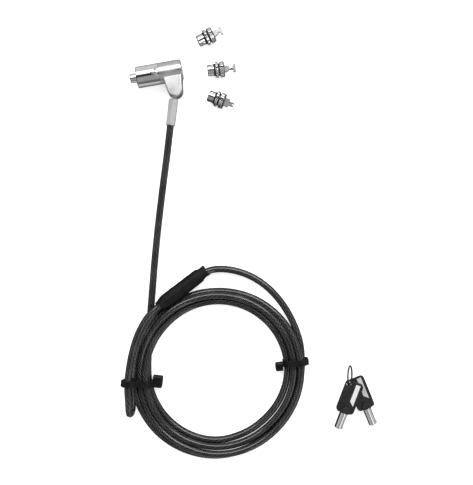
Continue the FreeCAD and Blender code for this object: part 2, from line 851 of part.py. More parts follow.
def ferrule():
    """The crimped end of the cable: a flat tang on the pivot and a six-sided barrel round the cable."""
    body = new_body("ferrule")
    stop = s.ferrule_start + s.ferrule_length
    corner = s.ferrule_flats / math.sqrt(3)
    flat = s.ferrule_flats / 2

    def six_sides(sketch):
        half = corner / 2
        outline = [(0, corner), (-flat, half), (-flat, -half), (0, -corner), (flat, -half), (flat, half)]
        polygon(sketch, outline)

    pad(body, "ferrule_barrel", "YZ_Plane", six_sides, s.ferrule_length, s.ferrule_start)
    over = corner * 1.25
    for name, edge_x, inner_x in (
        ("front", s.ferrule_start, s.ferrule_start + s.ferrule_bevel * 2),
        ("rear", stop, stop - s.ferrule_bevel),
    ):
        sketch = new_sketch(body, f"ferrule_{name}_bevel", "XZ_Plane")
        polygon(sketch, [(edge_x, flat - s.ferrule_bevel * 0.4), (edge_x, over), (inner_x, over)])
        groove = body.newObject("PartDesign::Groove", f"ferrule_{name}_groove")
        groove.Profile = sketch
        groove.ReferenceAxis = (sketch, ["H_Axis"])
        groove.Angle = 360

    def eye(sketch):
        circle(sketch, 0, 0, s.tang_eye_radius)

    def bar(sketch):
        wide = s.tang_half_width
        start = s.tang_eye_radius / 2
        polygon(
            sketch,
            [(start, -wide), (s.ferrule_start + 1, -wide), (s.ferrule_start + 1, wide), (start, wide)],
        )

    pad(body, "tang_bar", "XY_Plane", bar, s.tang_half_height * 2, both=True)
    pad(body, "tang_eye", "XY_Plane", eye, s.tang_half_height * 2, both=True)
    pocket(body, "tang_hole", "XY_Plane", lambda k: circle(k, 0, 0, s.pivot_radius + s.running_gap))
    pocket(
        body,
        "cable_bore",
        "YZ_Plane",
        lambda k: circle(k, 0, 0, s.cable_radius + s.running_gap),
        s.ferrule_bore_depth,
        stop,
    )
    keep(body, "ferrule", ferrule_frame)


def cable_runs():
    """The free stretches of cable and the plain solid of the tied coil."""
    mouth = value(s.ferrule_start + s.ferrule_length - s.ferrule_bore_depth)
    start = ferrule_frame.multVec(FreeCAD.Vector(mouth, 0, 0))
    cable("cable_lead", [tuple(start), *LEAD_POINTS])
    crimp_end = value(s.sleeve_length - s.crimp_inset)
    tail_end = sleeve_frame.multVec(FreeCAD.Vector(crimp_end, 0, 0))
    cable("cable_tail", [*TAIL_POINTS, tuple(tail_end)])
    inset = value(s.crimp_inset)
    low = sleeve_frame.multVec(FreeCAD.Vector(inset, 0, -value(s.cable_radius)))
    high = sleeve_frame.multVec(FreeCAD.Vector(inset, 0, value(s.cable_radius)))
    cable("cable_eye", [tuple(low), *EYE_POINTS, tuple(high)])
    coil = new_body("cable_coil")
    floor = s.strap_thickness + s.strap_gap
    ring = revolve(
        coil,
        "cable_coil",
        [
            (floor, s.coil_inner),
            (floor, s.coil_outer),
            (floor + s.coil_height, s.coil_outer),
            (floor + s.coil_height, s.coil_inner),
        ],
    )
    rounding = coil.newObject("PartDesign::Fillet", "coil_rounding")
    rounding.Base = (ring, edges_where(ring, lambda m, e: e.Length > value(s.coil_inner)))
    bind(rounding, "Radius", s.coil_round)
    upright = FreeCAD.Rotation(FreeCAD.Vector(0, 1, 0), -90)
    keep(coil, "cable_coil", FreeCAD.Placement(FreeCAD.Vector(*COIL_CENTER, 0), upright))


def between(begin, end):
    """A placement at the first point with its X axis towards the second."""
    start = FreeCAD.Vector(*begin)
    along = FreeCAD.Vector(*end) - start
    turn = math.degrees(math.atan2(along.y, along.x))
    pitch = -math.degrees(math.atan2(along.z, math.hypot(along.x, along.y)))
    return frame(start.x, start.y, start.z, turn, pitch)


sleeve_frame = between(*SLEEVE_ENDS)


def eye_sleeve():
    """The crimp barrel that closes the cable's eye, and the shrunk tube over it."""
    inset = s.crimp_inset
    inner = s.sleeve_radius - s.sleeve_wall
    turned_part(
        "crimp_barrel",
        [
            (inset, 0),
            (inset, inner - s.running_gap),
            (s.sleeve_length - inset, inner - s.running_gap),
            (s.sleeve_length - inset, 0),
        ],
        sleeve_frame,
    )
    turned_part(
        "heat_shrink_sleeve",
        [
            (0, s.sleeve_mouth - s.sleeve_wall),
            (0, s.sleeve_mouth),
            (s.sleeve_taper, s.sleeve_radius),
            (s.sleeve_length - s.sleeve_taper, s.sleeve_radius),
            (s.sleeve_length, s.sleeve_neck),
            (s.sleeve_length, s.sleeve_neck - s.sleeve_wall),
            (s.sleeve_length - inset, inner),
            (inset, inner),
        ],
        sleeve_frame,
    )


def tie(side, spot, outline, head_size):
    """A cable tie: a closed band round the bundle, and its head inside the coil."""
    floor = value(s.strap_thickness)
    points = [FreeCAD.Vector(x, 0, z if z > 2 * floor else floor) for x, z in outline]
    loop = Part.makePolygon([*points, points[0]])
    outer = loop.makeOffset2D(value(s.strap_thickness), 0, False, False, False)
    shell = Part.Face(Part.Wire(outer.Edges)).cut(Part.Face(Part.Wire(loop.Edges)))
    strap = shell.extrude(FreeCAD.Vector(0, value(s.strap_width), 0))
    strap.translate(FreeCAD.Vector(0, -value(s.strap_width) / 2, 0))
    part = doc.addObject("Part::Feature", f"{side}_tie_strap_feature")
    part.Shape = strap.Solids[0]
    place = frame(spot[0], spot[1], 0, spot[2])
    keep(part, f"{side}_tie_strap", place)
    depth, width, height = head_size
    face = outline[0][0] - value(s.strap_thickness)
    rear = -depth + face
    half = width / 2
    head = new_body(f"{side}_tie_head")

    def plan(sketch):
        polygon(sketch, [(rear, -half), (face, -half), (face, half), (rear, half)])

    block = pad(head, f"{side}_tie_head", "XY_Plane", plan, height, floor)
    corners = edges_where(block, lambda m, e: m.x < face - 1e-3)
    soft = head.newObject("PartDesign::Fillet", f"{side}_tie_head_rounding")
    soft.Base = (block, corners)
    bind(soft, "Radius", s.tie_head_round)
    keep(head, f"{side}_tie_head", place)


def tip(number, x, y, turn):
    """One of the loose tips: base and core, two discs, rings, a washer and the end that enters a slot."""
    place = frame(x, y, value(s.tip_disc_radius), turn)
    name = f"tip_{number}"
    core = s.tip_core_radius
    bore = s.tip_shaft_radius + s.running_gap
    front_end = s.tip_front_start + s.tip_front_length
    washer_end = front_end + s.tip_washer_length
    turned_part(
        f"{name}_base",
        [
            (0, bore),
            (0, s.tip_base_radius - s.edge_chamfer),
            (s.edge_chamfer, s.tip_base_radius),
            (s.tip_base_length, s.tip_base_radius),
            (s.tip_base_length, core),
            (washer_end, core),
            (washer_end, bore),
        ],
        place,
    )

    def notch(sketch):
        """A V in the rim of a disc, where a latch drops in."""
        deep = s.tip_disc_radius - s.notch_depth
        high = s.tip_disc_radius + 1
        polygon(sketch, [(0, deep), (s.notch_depth * 1.6, high), (-s.notch_depth * 1.6, high)])

    for part_name, start, length in (
        ("rear_disc", s.tip_rear_start, s.tip_rear_length),
        ("front_disc", s.tip_front_start, s.tip_front_length),
    ):
        disc = new_body(f"{name}_{part_name}")
        bevel = s.edge_chamfer * 0.6
        revolve(
            disc,
            f"{name}_{part_name}",
            [
                (start, core),
                (start, s.tip_disc_radius - bevel),
                (start + bevel, s.tip_disc_radius),
                (start + length - bevel, s.tip_disc_radius),
                (start + length, s.tip_disc_radius - bevel),
                (start + length, core),
            ],
        )
        pocket(disc, f"{name}_{part_name}_notch", "YZ_Plane", notch)
        keep(disc, f"{name}_{part_name}", place)
    rings = []
    gaps = ((s.tip_base_length, s.tip_rear_start), (s.tip_rear_start + s.tip_rear_length, s.tip_front_start))
    for i, (begin, end) in enumerate(gaps, start=1):
        ring = new_body(f"{name}_ring_{i}")
        revolve(
            ring,
            f"{name}_ring_{i}",
            [(begin, core), (begin, s.tip_groove_radius), (end, s.tip_groove_radius), (end, core)],
        )
        rings.append(ring)
    group = doc.addObject("Part::Compound", f"{name}_rings_group")
    group.Links = rings
    keep(group, f"{name}_rings", place)
    turned_part(
        f"{name}_washer",
        [
            (front_end, core),
            (front_end, s.tip_washer_radius),
            (washer_end, s.tip_washer_radius),
            (washer_end, core),
        ],
        place,
    )
    if number == 3:
        wedge_end(name, place, washer_end)
    else:
        sizes = (s.bar_length, s.bar_gap) if number == 1 else (s.small_bar_length, s.small_bar_gap)
        bar_end(name, place, washer_end, *sizes)


def slab(name, begin, length, wide, high):
    """A block across the tip's axis, of half that width and height to each side."""
    body = new_body(name)

    def outline(sketch):
        polygon(sketch, [(-wide, -high), (wide, -high), (wide, high), (-wide, high)])

    pad(body, name, "YZ_Plane", outline, length, begin)
    return body


def bar_end(name, place, begin, bar_length, neck_length):
    """A fixed tapering guard that fills the slot, and the shaft with the cross bar that turns behind it."""
    half = bar_length / 2
    guard_stop = begin + s.guard_length
    foot = s.guard_foot / 2
    narrow = s.guard_end / 2
    guard = new_body(f"{name}_guard")

    def taper(sketch):
        polygon(sketch, [(begin, -foot), (guard_stop, -narrow), (guard_stop, narrow), (begin, foot)])

    pad(guard, f"{name}_guard", "XY_Plane", taper, s.bar_half_height * 2, both=True)
    pocket(
        guard, f"{name}_guard_bore", "YZ_Plane", lambda k: circle(k, 0, 0, s.tip_shaft_radius + s.running_gap)
    )
    keep(guard, f"{name}_guard", place)
    bar_start = guard_stop + neck_length
    bar = slab(f"{name}_t_bar", bar_start, s.bar_thickness, half, s.bar_half_height)
    block = bar.Tip
    ends = edges_where(block, lambda m, e: abs(m.z) < 1e-3 and abs(abs(m.y) - value(half)) < 1e-3)
    soft = bar.newObject("PartDesign::Fillet", f"{name}_bar_rounding")
    soft.Base = (block, ends)
    bind(soft, "Radius", s.bar_thickness * 0.4)
    pad(
        bar,
        f"{name}_neck",
        "YZ_Plane",
        lambda k: circle(k, 0, 0, s.tip_neck_radius),
        neck_length - s.swivel_gap + s.bar_thickness / 2,
        guard_stop + s.swivel_gap,
    )
    pad(
        bar,
        f"{name}_shaft",
        "YZ_Plane",
        lambda k: circle(k, 0, 0, s.tip_shaft_radius),
        bar_start + s.bar_thickness / 2 - s.blade_length,
        s.blade_length,
    )
    keep(bar, f"{name}_t_bar", place)


def wedge_end(name, place, begin):
    """A block with two thin legs, and the blade that slides between them to spread them."""
    block = slab(f"{name}_guard", begin, s.fork_block_length, s.bar_half_height * 2.2, s.bar_half_height)
    leg = s.fork_leg
    gap = s.fork_blade / 2 + s.running_gap
    for side in (-1, 1):

        def outline(sketch, side=side):
            near = gap * side
            far = (gap + leg) * side
            high = s.bar_half_height * 0.9
            polygon(sketch, [(near, -high), (far, -high), (far, high), (near, high)])

        pad(
            block,
            f"{name}_leg_{'left' if side < 0 else 'right'}",
            "YZ_Plane",
            outline,
            s.fork_length + s.fork_block_length / 2,
            begin + s.fork_block_length / 2,
        )

    def blade_slot(sketch):
        high = s.bar_half_height * 0.9 + s.running_gap
        polygon(sketch, [(-gap, -high), (gap, -high), (gap, high), (-gap, high)])

    pocket(block, f"{name}_blade_slot", "YZ_Plane", blade_slot)
    keep(block, f"{name}_guard", place)
    blade = slab(
        f"{name}_wedge",
        begin + s.running_gap,
        s.fork_block_length + s.fork_length - s.wedge_travel - s.running_gap,
        s.fork_blade / 2,
        s.bar_half_height * 0.9,
    )
    pad(
        blade,
        f"{name}_wedge_stem",
        "YZ_Plane",
        lambda k: circle(k, 0, 0, s.tip_shaft_radius),
        begin - s.wedge_travel - s.blade_length,
        s.blade_length,
    )
    pad(
        blade,
        f"{name}_wedge_link",
        "YZ_Plane",
        lambda k: circle(k, 0, 0, s.fork_blade / 2),
        s.wedge_travel + s.running_gap * 4,
        begin - s.wedge_travel - s.running_gap * 2,
    )
    keep(blade, f"{name}_wedge", place)


def ring_point(rise):
    """Where the ring's wire passes, that part of its radius up, on the side where the keys hang."""
    lean = math.radians(RING_LEAN)
    radius = value(s.ring_radius)
    out = radius * math.sqrt(1 - rise * rise)
    height = value(s.ring_wire) + radius * math.cos(lean) * (1 + rise)
    return RING_CENTER[0] - radius * rise * math.sin(lean), RING_CENTER[1] - out, height


def key(side):
    """A tubular key: a flat bow with its label, and a hollow barrel that fits the plug."""
    turn = KEY_TURNS[side]
    x, y, height = ring_point(KEY_RISES[side])
    name = f"{side}_key"
    shoulder = s.bow_length - s.hole_from_end
    middle = s.bow_width / 2 - s.hole_from_side
    reach = value(shoulder + s.key_barrel_length)
    pitch = math.degrees(math.asin((height - value(s.key_barrel_radius) - 0.05) / reach))
    place = frame(x, y, height, turn, pitch)
    bow = new_body(f"{name}_bow")
    low = -s.hole_from_side
    high = s.bow_width - s.hole_from_side

    def plate(sketch):
        polygon(
            sketch,
            [(-s.hole_from_end, low), (shoulder, low), (shoulder, high), (-s.hole_from_end, high)],
        )

    block = pad(bow, f"{name}_plate", "XY_Plane", plate, s.bow_thickness, both=True)
    corners = edges_where(block, lambda m, e: abs(m.z) < 1e-3)
    soft = bow.newObject("PartDesign::Fillet", f"{name}_corners")
    soft.Base = (block, corners)
    bind(soft, "Radius", s.bow_round)
    boss_x = shoulder - s.boss_rise
    dome = pad(
        bow,
        f"{name}_boss",
        "XY_Plane",
        lambda k: circle(k, boss_x, middle, s.boss_radius),
        s.boss_thickness,
        both=True,
    )
    rims = edges_where(dome, lambda m, e: abs(abs(m.z) - value(s.boss_thickness) / 2) < 1e-3)
    rounded = bow.newObject("PartDesign::Fillet", f"{name}_boss_rounding")
    rounded.Base = (dome, rims)
    bind(rounded, "Radius", s.boss_round)

    def below_shoulder(sketch):
        far = shoulder + s.boss_radius
        polygon(sketch, [(shoulder, low), (far, low), (far, high), (shoulder, high)])

    pocket(bow, f"{name}_boss_trim", "XY_Plane", below_shoulder)
    hole = pocket(bow, f"{name}_ring_hole", "XY_Plane", lambda k: circle(k, 0, 0, s.bow_hole))
    reach = value(s.bow_hole) + 0.01
    mouths = edges_where(hole, lambda m, e: math.hypot(m.x, m.y) < reach and abs(m.z) > 0.1)
    eased = bow.newObject("PartDesign::Chamfer", f"{name}_hole_edges")
    eased.Base = (hole, mouths)
    bind(eased, "Size", s.hole_chamfer)
    keep(bow, f"{name}_bow", place)
    barrel = new_body(f"{name}_barrel")
    tip_x = s.key_barrel_length
    revolve(
        barrel,
        f"{name}_barrel",
        [
            (0, 0),
            (0, s.key_barrel_radius),
            (tip_x - s.swivel_gap * 3, s.key_barrel_radius),
            (tip_x, s.key_barrel_radius - s.swivel_gap * 3),
            (tip_x, s.key_bore_radius),
            (tip_x - s.key_bore_depth, s.key_bore_radius),
            (tip_x - s.key_bore_depth, 0),
        ],
    )

    def nib(sketch):
        half = s.nib_width / 2
        root = (s.key_bore_radius + s.key_barrel_radius) / 2
        polygon(sketch, [(root, -half), (s.plug_radius, -half), (s.plug_radius, half), (root, half)])

    pad(barrel, f"{name}_nib", "YZ_Plane", nib, s.nib_length - s.swivel_gap * 3, tip_x - s.nib_length)
    offset = FreeCAD.Placement(FreeCAD.Vector(value(shoulder), value(middle), 0), FreeCAD.Rotation())
    keep(barrel, f"{name}_barrel", place * offset)
    label = new_body(f"{name}_label")

    def strip(sketch):
        start = s.label_inset - s.hole_from_end
        stop = start + s.label_length
        right = high - s.label_margin
        left = right - s.label_width
        polygon(sketch, [(start, left), (stop - s.label_width, left), (stop, right), (start, right)])

    pad(label, f"{name}_label", "XY_Plane", strip, s.label_thickness, s.bow_thickness / 2)
    keep(label, f"{name}_label", place)


def key_ring():
    """The ring, standing on the table and leaning a little."""
    ring = doc.addObject("Part::Torus", "key_ring_torus")
    bind(ring, "Radius1", s.ring_radius)
    bind(ring, "Radius2", s.ring_wire)
    lean = math.radians(RING_LEAN)
    height = value(s.ring_radius) * math.cos(lean) + value(s.ring_wire)
    upright = FreeCAD.Rotation(FreeCAD.Vector(0, 1, 0), 90 - RING_LEAN)
    keep(ring, "key_ring", FreeCAD.Placement(FreeCAD.Vector(*RING_CENTER, height), upright))


lock_body()
head_details()
plug_sleeve()
key_plug()
drive_train()
swivel_yoke()
ferrule()
cable_runs()
eye_sleeve()
left_head = (s.left_head_depth, s.left_head_width, s.left_head_height)
right_head = (s.right_head_depth, s.right_head_width, s.right_head_height)
tie("left", LEFT_TIE_PLACE, LEFT_BAND, left_head)
tie("right", RIGHT_TIE_PLACE, RIGHT_BAND, right_head)
for number, (x, y, turn) in enumerate(TIP_PLACES, start=1):
    tip(number, x, y, turn)
key("front")
key("back")
key_ring()
doc.recompute()

failed = [item.Label for item in doc.Objects if {"Invalid", "Error"} & set(item.State)]
failed += [node.Label for node in nodes if node.Shape.isNull() or not node.Shape.isValid()]
if failed:
    raise RuntimeError(f"these failed: {failed}")
os.makedirs("parts", exist_ok=True)
for node in nodes:
    node.Shape.exportStep(f"parts/{node.Label}.step")
print(f"{len(nodes)} sub-parts written")
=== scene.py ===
"""Looks of a laptop cable lock laid out on a pale table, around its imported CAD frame."""

import logging
import math
from dataclasses import dataclass
from enum import Enum
from typing import Callable, Sequence

import bmesh
import bpy
import numpy as np
from mathutils import Matrix, Vector


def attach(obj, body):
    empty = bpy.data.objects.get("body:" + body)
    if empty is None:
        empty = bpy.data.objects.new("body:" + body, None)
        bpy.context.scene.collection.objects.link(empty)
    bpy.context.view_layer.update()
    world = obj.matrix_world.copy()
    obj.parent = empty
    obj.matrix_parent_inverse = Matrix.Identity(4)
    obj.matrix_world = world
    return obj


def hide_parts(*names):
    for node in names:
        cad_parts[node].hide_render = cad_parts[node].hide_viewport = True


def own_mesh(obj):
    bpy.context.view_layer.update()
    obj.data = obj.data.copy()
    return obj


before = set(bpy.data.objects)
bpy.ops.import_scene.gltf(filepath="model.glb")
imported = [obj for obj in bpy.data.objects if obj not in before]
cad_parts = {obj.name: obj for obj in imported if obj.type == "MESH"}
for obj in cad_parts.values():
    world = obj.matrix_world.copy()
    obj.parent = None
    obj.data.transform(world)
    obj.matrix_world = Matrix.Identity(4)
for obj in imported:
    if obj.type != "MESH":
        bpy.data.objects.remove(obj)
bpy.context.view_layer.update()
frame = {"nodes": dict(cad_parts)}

logging.basicConfig(level=logging.INFO, format="%(message)s")
log = logging.getLogger("cable_lock")

MM = 0.001
SEED = 11
Piece = bpy.types.Object
Point = tuple[float, float, float]
Inputs = dict[int | str, object]


class Body(Enum):
    """The moving bodies that pieces ride on."""

    CABLE = "cable"
    YOKE = "yoke"
    HEAD = "head"
    PLUG = "plug"
    ROTOR = "rotor"
    SPINDLE = "spindle"
    RING = "ring"
    FRONT_KEY = "front_key"
    BACK_KEY = "back_key"
    TIP_1 = "tip_1"
    TIP_1_BAR = "tip_1_bar"
    TIP_2 = "tip_2"
    TIP_2_BAR = "tip_2_bar"
    TIP_3 = "tip_3"
    TIP_3_BLADE = "tip_3_blade"


class Signal:
    """A node's output, which adds, multiplies and maps like a number."""

    def __init__(self, builder: "Builder", socket: bpy.types.NodeSocket) -> None:
        """Wraps a socket in the builder's node tree."""
        self.builder = builder
        self.socket = socket

    def _math(self, operation: str, *operands: object) -> "Signal":
        """Adds a maths node."""
        return self.builder.signal("ShaderNodeMath", dict(enumerate(operands)), operation=operation)

    def __add__(self, other: object) -> "Signal":
        """self + other."""
        return self._math("ADD", self, other)

    __radd__ = __add__

    def __sub__(self, other: object) -> "Signal":
        """self - other."""
        return self._math("SUBTRACT", self, other)

    def __rsub__(self, other: object) -> "Signal":
        """other - self."""
        return self._math("SUBTRACT", other, self)

    def __mul__(self, other: object) -> "Signal":
        """self * other."""
        return self._math("MULTIPLY", self, other)

    __rmul__ = __mul__

    def sine(self) -> "Signal":
        """The sine of the value."""
        return self._math("SINE", self)

    def inverse_root(self) -> "Signal":
        """1 divided by the value's square root."""
        return self._math("INVERSE_SQRT", self)

    def above(self, limit: float) -> "Signal":
        """1 where the value is above the limit, else 0."""
        return self._math("GREATER_THAN", self, limit)

    def spread(self, low: float, high: float, to_low: float = 0.0, to_high: float = 1.0) -> "Signal":
        """The value mapped from one range onto another, smoothly and clamped.

        Args:
            low: value that gives to_low.
            high: value that gives to_high.
            to_low: result at low.
            to_high: result at high.

        Returns:
            The mapped value.
        """
        inputs = dict(enumerate((self, low, high, to_low, to_high)))
        return self.builder.signal("ShaderNodeMapRange", inputs, interpolation_type="SMOOTHSTEP")


class Builder:
    """Makes nodes in one node tree."""

    def __init__(self, tree: bpy.types.NodeTree) -> None:
        """Takes the tree that the nodes go into."""
        self.tree = tree

    def fill(self, socket: bpy.types.NodeSocket, given: object) -> None:
        """Links a signal to an input, or sets the input's value.

        Args:
            socket: the input.
            given: a Signal or a plain value.
        """
        if isinstance(given, Signal):
            self.tree.links.new(given.socket, socket)
        else:
            socket.default_value = given

    def node(self, kind: str, inputs: Inputs | None = None, **settings: object) -> bpy.types.Node:
        """Adds a node, sets its properties and fills its inputs.

        Args:
            kind: the node's type name.
            inputs: a value or a Signal for each input, by index or name.
            **settings: the node's own properties.

        Returns:
            The new node.
        """
        made = self.tree.nodes.new(kind)
        for name, setting in settings.items():
            setattr(made, name, setting)
        for key, given in (inputs or {}).items():
            self.fill(made.inputs[key], given)
        return made

    def signal(
        self, kind: str, inputs: Inputs | None = None, output: int | str = 0, **settings: object
    ) -> Signal:
        """Adds a node and returns one of its outputs."""
        return Signal(self, self.node(kind, inputs, **settings).outputs[output])

    def coords(self, kind: str = "Object") -> Signal:
        """Texture coordinates of one kind."""
        return self.signal("ShaderNodeTexCoord", output=kind)

    def split(self, vector: Signal) -> list[Signal]:
        """The three parts of a vector."""
        parts = self.node("ShaderNodeSeparateXYZ", {0: vector})
        return [Signal(self, output) for output in parts.outputs]

    def noise(self, coords: Signal, scale: float, detail: float = 3.0, roughness: float = 0.5) -> Signal:
        """Fractal noise at a scale in features per metre."""
        inputs = {"Vector": coords, "Scale": scale, "Detail": detail, "Roughness": roughness}
        return self.signal("ShaderNodeTexNoise", inputs)

    def mix(self, factor: object, low: object, high: object) -> Signal:
        """A colour between two colours: low where the factor is 0, high where it is 1."""
        return self.signal("ShaderNodeMix", {0: factor, 6: low, 7: high}, 2, data_type="RGBA")

    def bump(self, height: Signal, strength: float, distance: float) -> Signal:
        """A normal that stands for fine relief."""
        return self.signal("ShaderNodeBump", {"Height": height, "Strength": strength, "Distance": distance})


def grey(level: float, warm: float = 0.0) -> tuple[float, ...]:
    """A neutral colour, a little warmer or cooler where asked."""
    return (level * (1 + warm), level, level * (1 - warm), 1.0)


@dataclass(frozen=True)
class Finish:
    """A surface finish that becomes one material.

    Attributes:
        name: the material's name.
        slot: the record's material slot for the piece; not used.
    """

    name: str
    slot: str

    def surface(self, build: Builder) -> Inputs:
        """What feeds the shader, by input name."""
        raise NotImplementedError

    def material(self) -> bpy.types.Material:
        """Makes the material on first use.

        Returns:
            The material.
        """
        found = bpy.data.materials.get(self.name)
        if found:
            return found
        made = bpy.data.materials.new(self.name)
        made.use_nodes = True
        made.node_tree.nodes.clear()
        build = Builder(made.node_tree)
        shader = build.signal("ShaderNodeBsdfPrincipled", self.surface(build))
        build.node("ShaderNodeOutputMaterial", {0: shader})
        return made


@dataclass(frozen=True)
class Metal(Finish):
    """Bare or plated metal with fine turning marks and faint smudges.

    Attributes:
        tone: brightness.
        rough: roughness between the smudges.
        warm: how much redder than neutral it is.
        relief: strength of the fine marks.
        marks: fine marks per metre.
        smudges: smudges per metre.
        smudge: how far a smudge changes the roughness, as a share of it.
    """

    tone: float
    rough: float
    warm: float = 0.0
    relief: float = 0.12
    marks: float = 900.0
    smudges: float = 130.0
    smudge: float = 0.12

    def surface(self, build: Builder) -> Inputs:
        """What feeds the shader.

        Args:
            build: the material's builder.

        Returns:
            Values and signals by input name.
        """
        coords = build.coords()
        fine = build.noise(coords, self.marks, 4.0, 0.6)
        cloud = build.noise(coords, self.smudges, 3.0, 0.55)
        dim, plain, lit = (grey(self.tone * share, self.warm) for share in (0.9, 1.0, 1.06))
        shade = build.mix(cloud.spread(0.3, 0.75), dim, lit)
        least, most = self.rough * (1 - self.smudge), self.rough * (1 + self.smudge * 2.5)
        return {
            "Base Color": build.mix(fine.spread(0.35, 0.7), shade, plain),
            "Metallic": 1.0,
            "Roughness": cloud.spread(0.3, 0.8, least, most) + fine * (self.rough * 0.25),
            "Normal": build.bump(fine, self.relief, 0.05 * MM),
        }


@dataclass(frozen=True)
class Plastic(Finish):
    """Moulded plastic with a fine pebbled skin and slight mottling.

    Attributes:
        tone: brightness.
        rough: roughness.
        pebble: pebbles of the skin per metre.
        relief: strength of the pebbles.
        wear: how far the mottling changes the tone, as a share of it.
        gloss: strength of the reflection.
        mottles: mottles per metre.
    """

    tone: float
    rough: float
    pebble: float = 2600.0
    relief: float = 0.25
    wear: float = 0.3
    gloss: float = 0.16
    mottles: float = 160.0

    def surface(self, build: Builder) -> Inputs:
        """What feeds the shader.

        Args:
            build: the material's builder.

        Returns:
            Values and signals by input name.
        """
        coords = build.coords()
        cloud = build.noise(coords, self.mottles, 4.0, 0.6)
        worn = grey(self.tone * (1 + self.wear) + 0.004)
        dark = grey(self.tone * (1 - self.wear * 0.5))
        return {
            "Base Color": build.mix(cloud.spread(0.3, 0.75), dark, worn),
            "Roughness": cloud.spread(0.25, 0.8, self.rough * 0.88, self.rough * 1.15),
            "Specular IOR Level": self.gloss,
            "Normal": build.bump(build.noise(coords, self.pebble, 2.0), self.relief, 0.08 * MM),
        }


@dataclass(frozen=True)
class Jacket(Finish):
    """A glossy smoke-clear jacket over the twisted strands of a steel cable.

    Attributes:
        tone: brightness between the wires.
        strand_tone: brightness of a wire that catches the light.
        pitch: length in which a strand winds once round the cable.
        wires: wires side by side round the cable.
        cross_pitch: length in which the wires of one strand wind the other way.
        cross_wires: wires of one strand.
        coat_ior: how strongly the clear skin reflects.
    """

    tone: float = 0.006
    strand_tone: float = 0.155
    pitch: float = 34.0 * MM
    wires: float = 12.0
    cross_pitch: float = 4.6 * MM
    cross_wires: float = 6.0
    coat_ior: float = 1.48

    def surface(self, build: Builder) -> Inputs:
        """What feeds the shader.

        Args:
            build: the material's builder.

        Returns:
            Values and signals by input name.
        """
        across, along, _ = build.split(build.signal("ShaderNodeUVMap", uv_map="along"))
        coords = build.coords()
        wobble = build.noise(coords, 60.0, 2.0)
        turn = along * (self.wires / self.pitch) - across * self.wires + wobble * 0.7
        cross_turn = along * (1.0 / self.cross_pitch) + across * self.cross_wires + wobble
        wave = (turn * math.tau).sine()
        streak = wave.spread(0.45, 1.0) * (cross_turn * math.tau).sine().spread(-0.7, 0.5, 0.25, 1.0)
        patch = build.noise(coords, 75.0, 3.0, 0.6).spread(0.32, 0.68, 0.3, 1.0)
        ripple = wave * 0.3 + build.noise(coords, 420.0, 2.0)
        return {
            "Base Color": build.mix(streak * patch, grey(self.tone), grey(self.strand_tone, 0.02)),
            "Roughness": build.noise(coords, 240.0).spread(0.3, 0.8, 0.2, 0.3),
            "Specular IOR Level": 0.1,
            "Coat Weight": 1.0,
            "Coat IOR": self.coat_ior,
            "Coat Roughness": 0.06,
            "Normal": build.bump(ripple, 0.2, 0.12 * MM),
        }


@dataclass(frozen=True)
class Table(Finish):
    """The pale plain surface under the object.

    Attributes:
        tone: brightness.
        glow: light that it gives off, which keeps it even and pale.
    """

    tone: float = 0.9
    glow: float = 0.62

    def surface(self, build: Builder) -> Inputs:
        """What feeds the shader.

        Args:
            build: the material's builder.

        Returns:
            Values and signals by input name.
        """
        cloud = build.noise(build.coords(), 6.0, 2.0)
        return {
            "Base Color": build.mix(cloud, grey(self.tone), grey(self.tone * 1.02)),
            "Roughness": 0.7,
            "Specular IOR Level": 0.1,
            "Emission Color": grey(1.0),
            "Emission Strength": self.glow,
        }


# The cable's route in mm from the ferrule to its end in the sleeve; the coil comes after LEAD.
LEAD = (
    (-64.52, 86.72, 8.4), (-65.94, 74.8, 8.4), (-67.8, 60.2, 6.6), (-70.6, 41.5, 3.6),
    (-73.1, 22.4, 2.9), (-76.1, -3.0, 2.75), (-78.6, -29.2, 2.75), (-80.2, -50.2, 2.75),
    (-81.6, -66.5, 2.75), (-82.6, -82.0, 2.75), (-83.3, -98.0, 2.75),
)
TAIL = (
    (36.7, -87.5, 2.75), (31.5, -73.5, 2.75), (23.7, -60.1, 2.75), (13.1, -47.8, 2.75),
    (-0.6, -38.2, 2.75), (-15.8, -33.0, 3.4), (-30.4, -32.0, 5.2),
)
CRIMP = (
    (-40.5, -35.7, 6.4), (-48.0, -41.5, 6.2), (-60.0, -50.7, 6.0), (-72.5, -60.3, 7.0),
)
EYE = (
    (-79.3, -68.2, 8.1), (-86.7, -80.4, 9.3), (-92.4, -94.6, 9.7), (-95.2, -110.7, 9.5),
    (-95.7, -123.7, 8.2), (-95.7, -135.7, 3.4), (-96.1, -146.1, 3.2), (-96.8, -146.1, 15.2),
    (-97.1, -135.7, 15.6), (-98.2, -123.5, 14.8), (-96.9, -110.6, 15.1), (-93.8, -94.1, 14.9),
    (-88.6, -79.3, 14.2), (-81.4, -67.7, 13.2), (-72.5, -60.3, 12.6), (-60.0, -50.7, 11.1),
    (-50.0, -43.0, 9.6),
)
COIL_STATIONS = (
    (180, 55.5, 2.75), (225, 55.4, 2.75), (260, 55.5, 2.75), (272, 55.2, 2.75), (287, 54.0, 2.75),
    (315, 53.3, 2.75), (360, 55.5, 2.75), (405, 55.5, 2.75), (450, 55.4, 2.75), (495, 55.1, 3.5),
    (540, 57.0, 8.2), (585, 59.4, 7.0), (630, 59.9, 5.75), (675, 59.0, 5.0), (720, 60.6, 6.1),
    (765, 60.4, 6.1), (810, 60.2, 7.2), (855, 60.7, 8.2), (900, 61.6, 5.0), (945, 64.7, 5.9),
    (990, 65.3, 8.1), (1035, 64.5, 8.25), (1080, 65.8, 8.25), (1110, 65.4, 4.5), (1170, 63.2, 2.75),
    (1215, 63.8, 4.0), (1235, 65.6, 8.0), (1260, 67.3, 4.5), (1305, 68.6, 2.75), (1350, 67.6, 2.75),
    (1395, 64.2, 2.75), (1440, 66.2, 2.75), (1455, 68.2, 2.75),
)


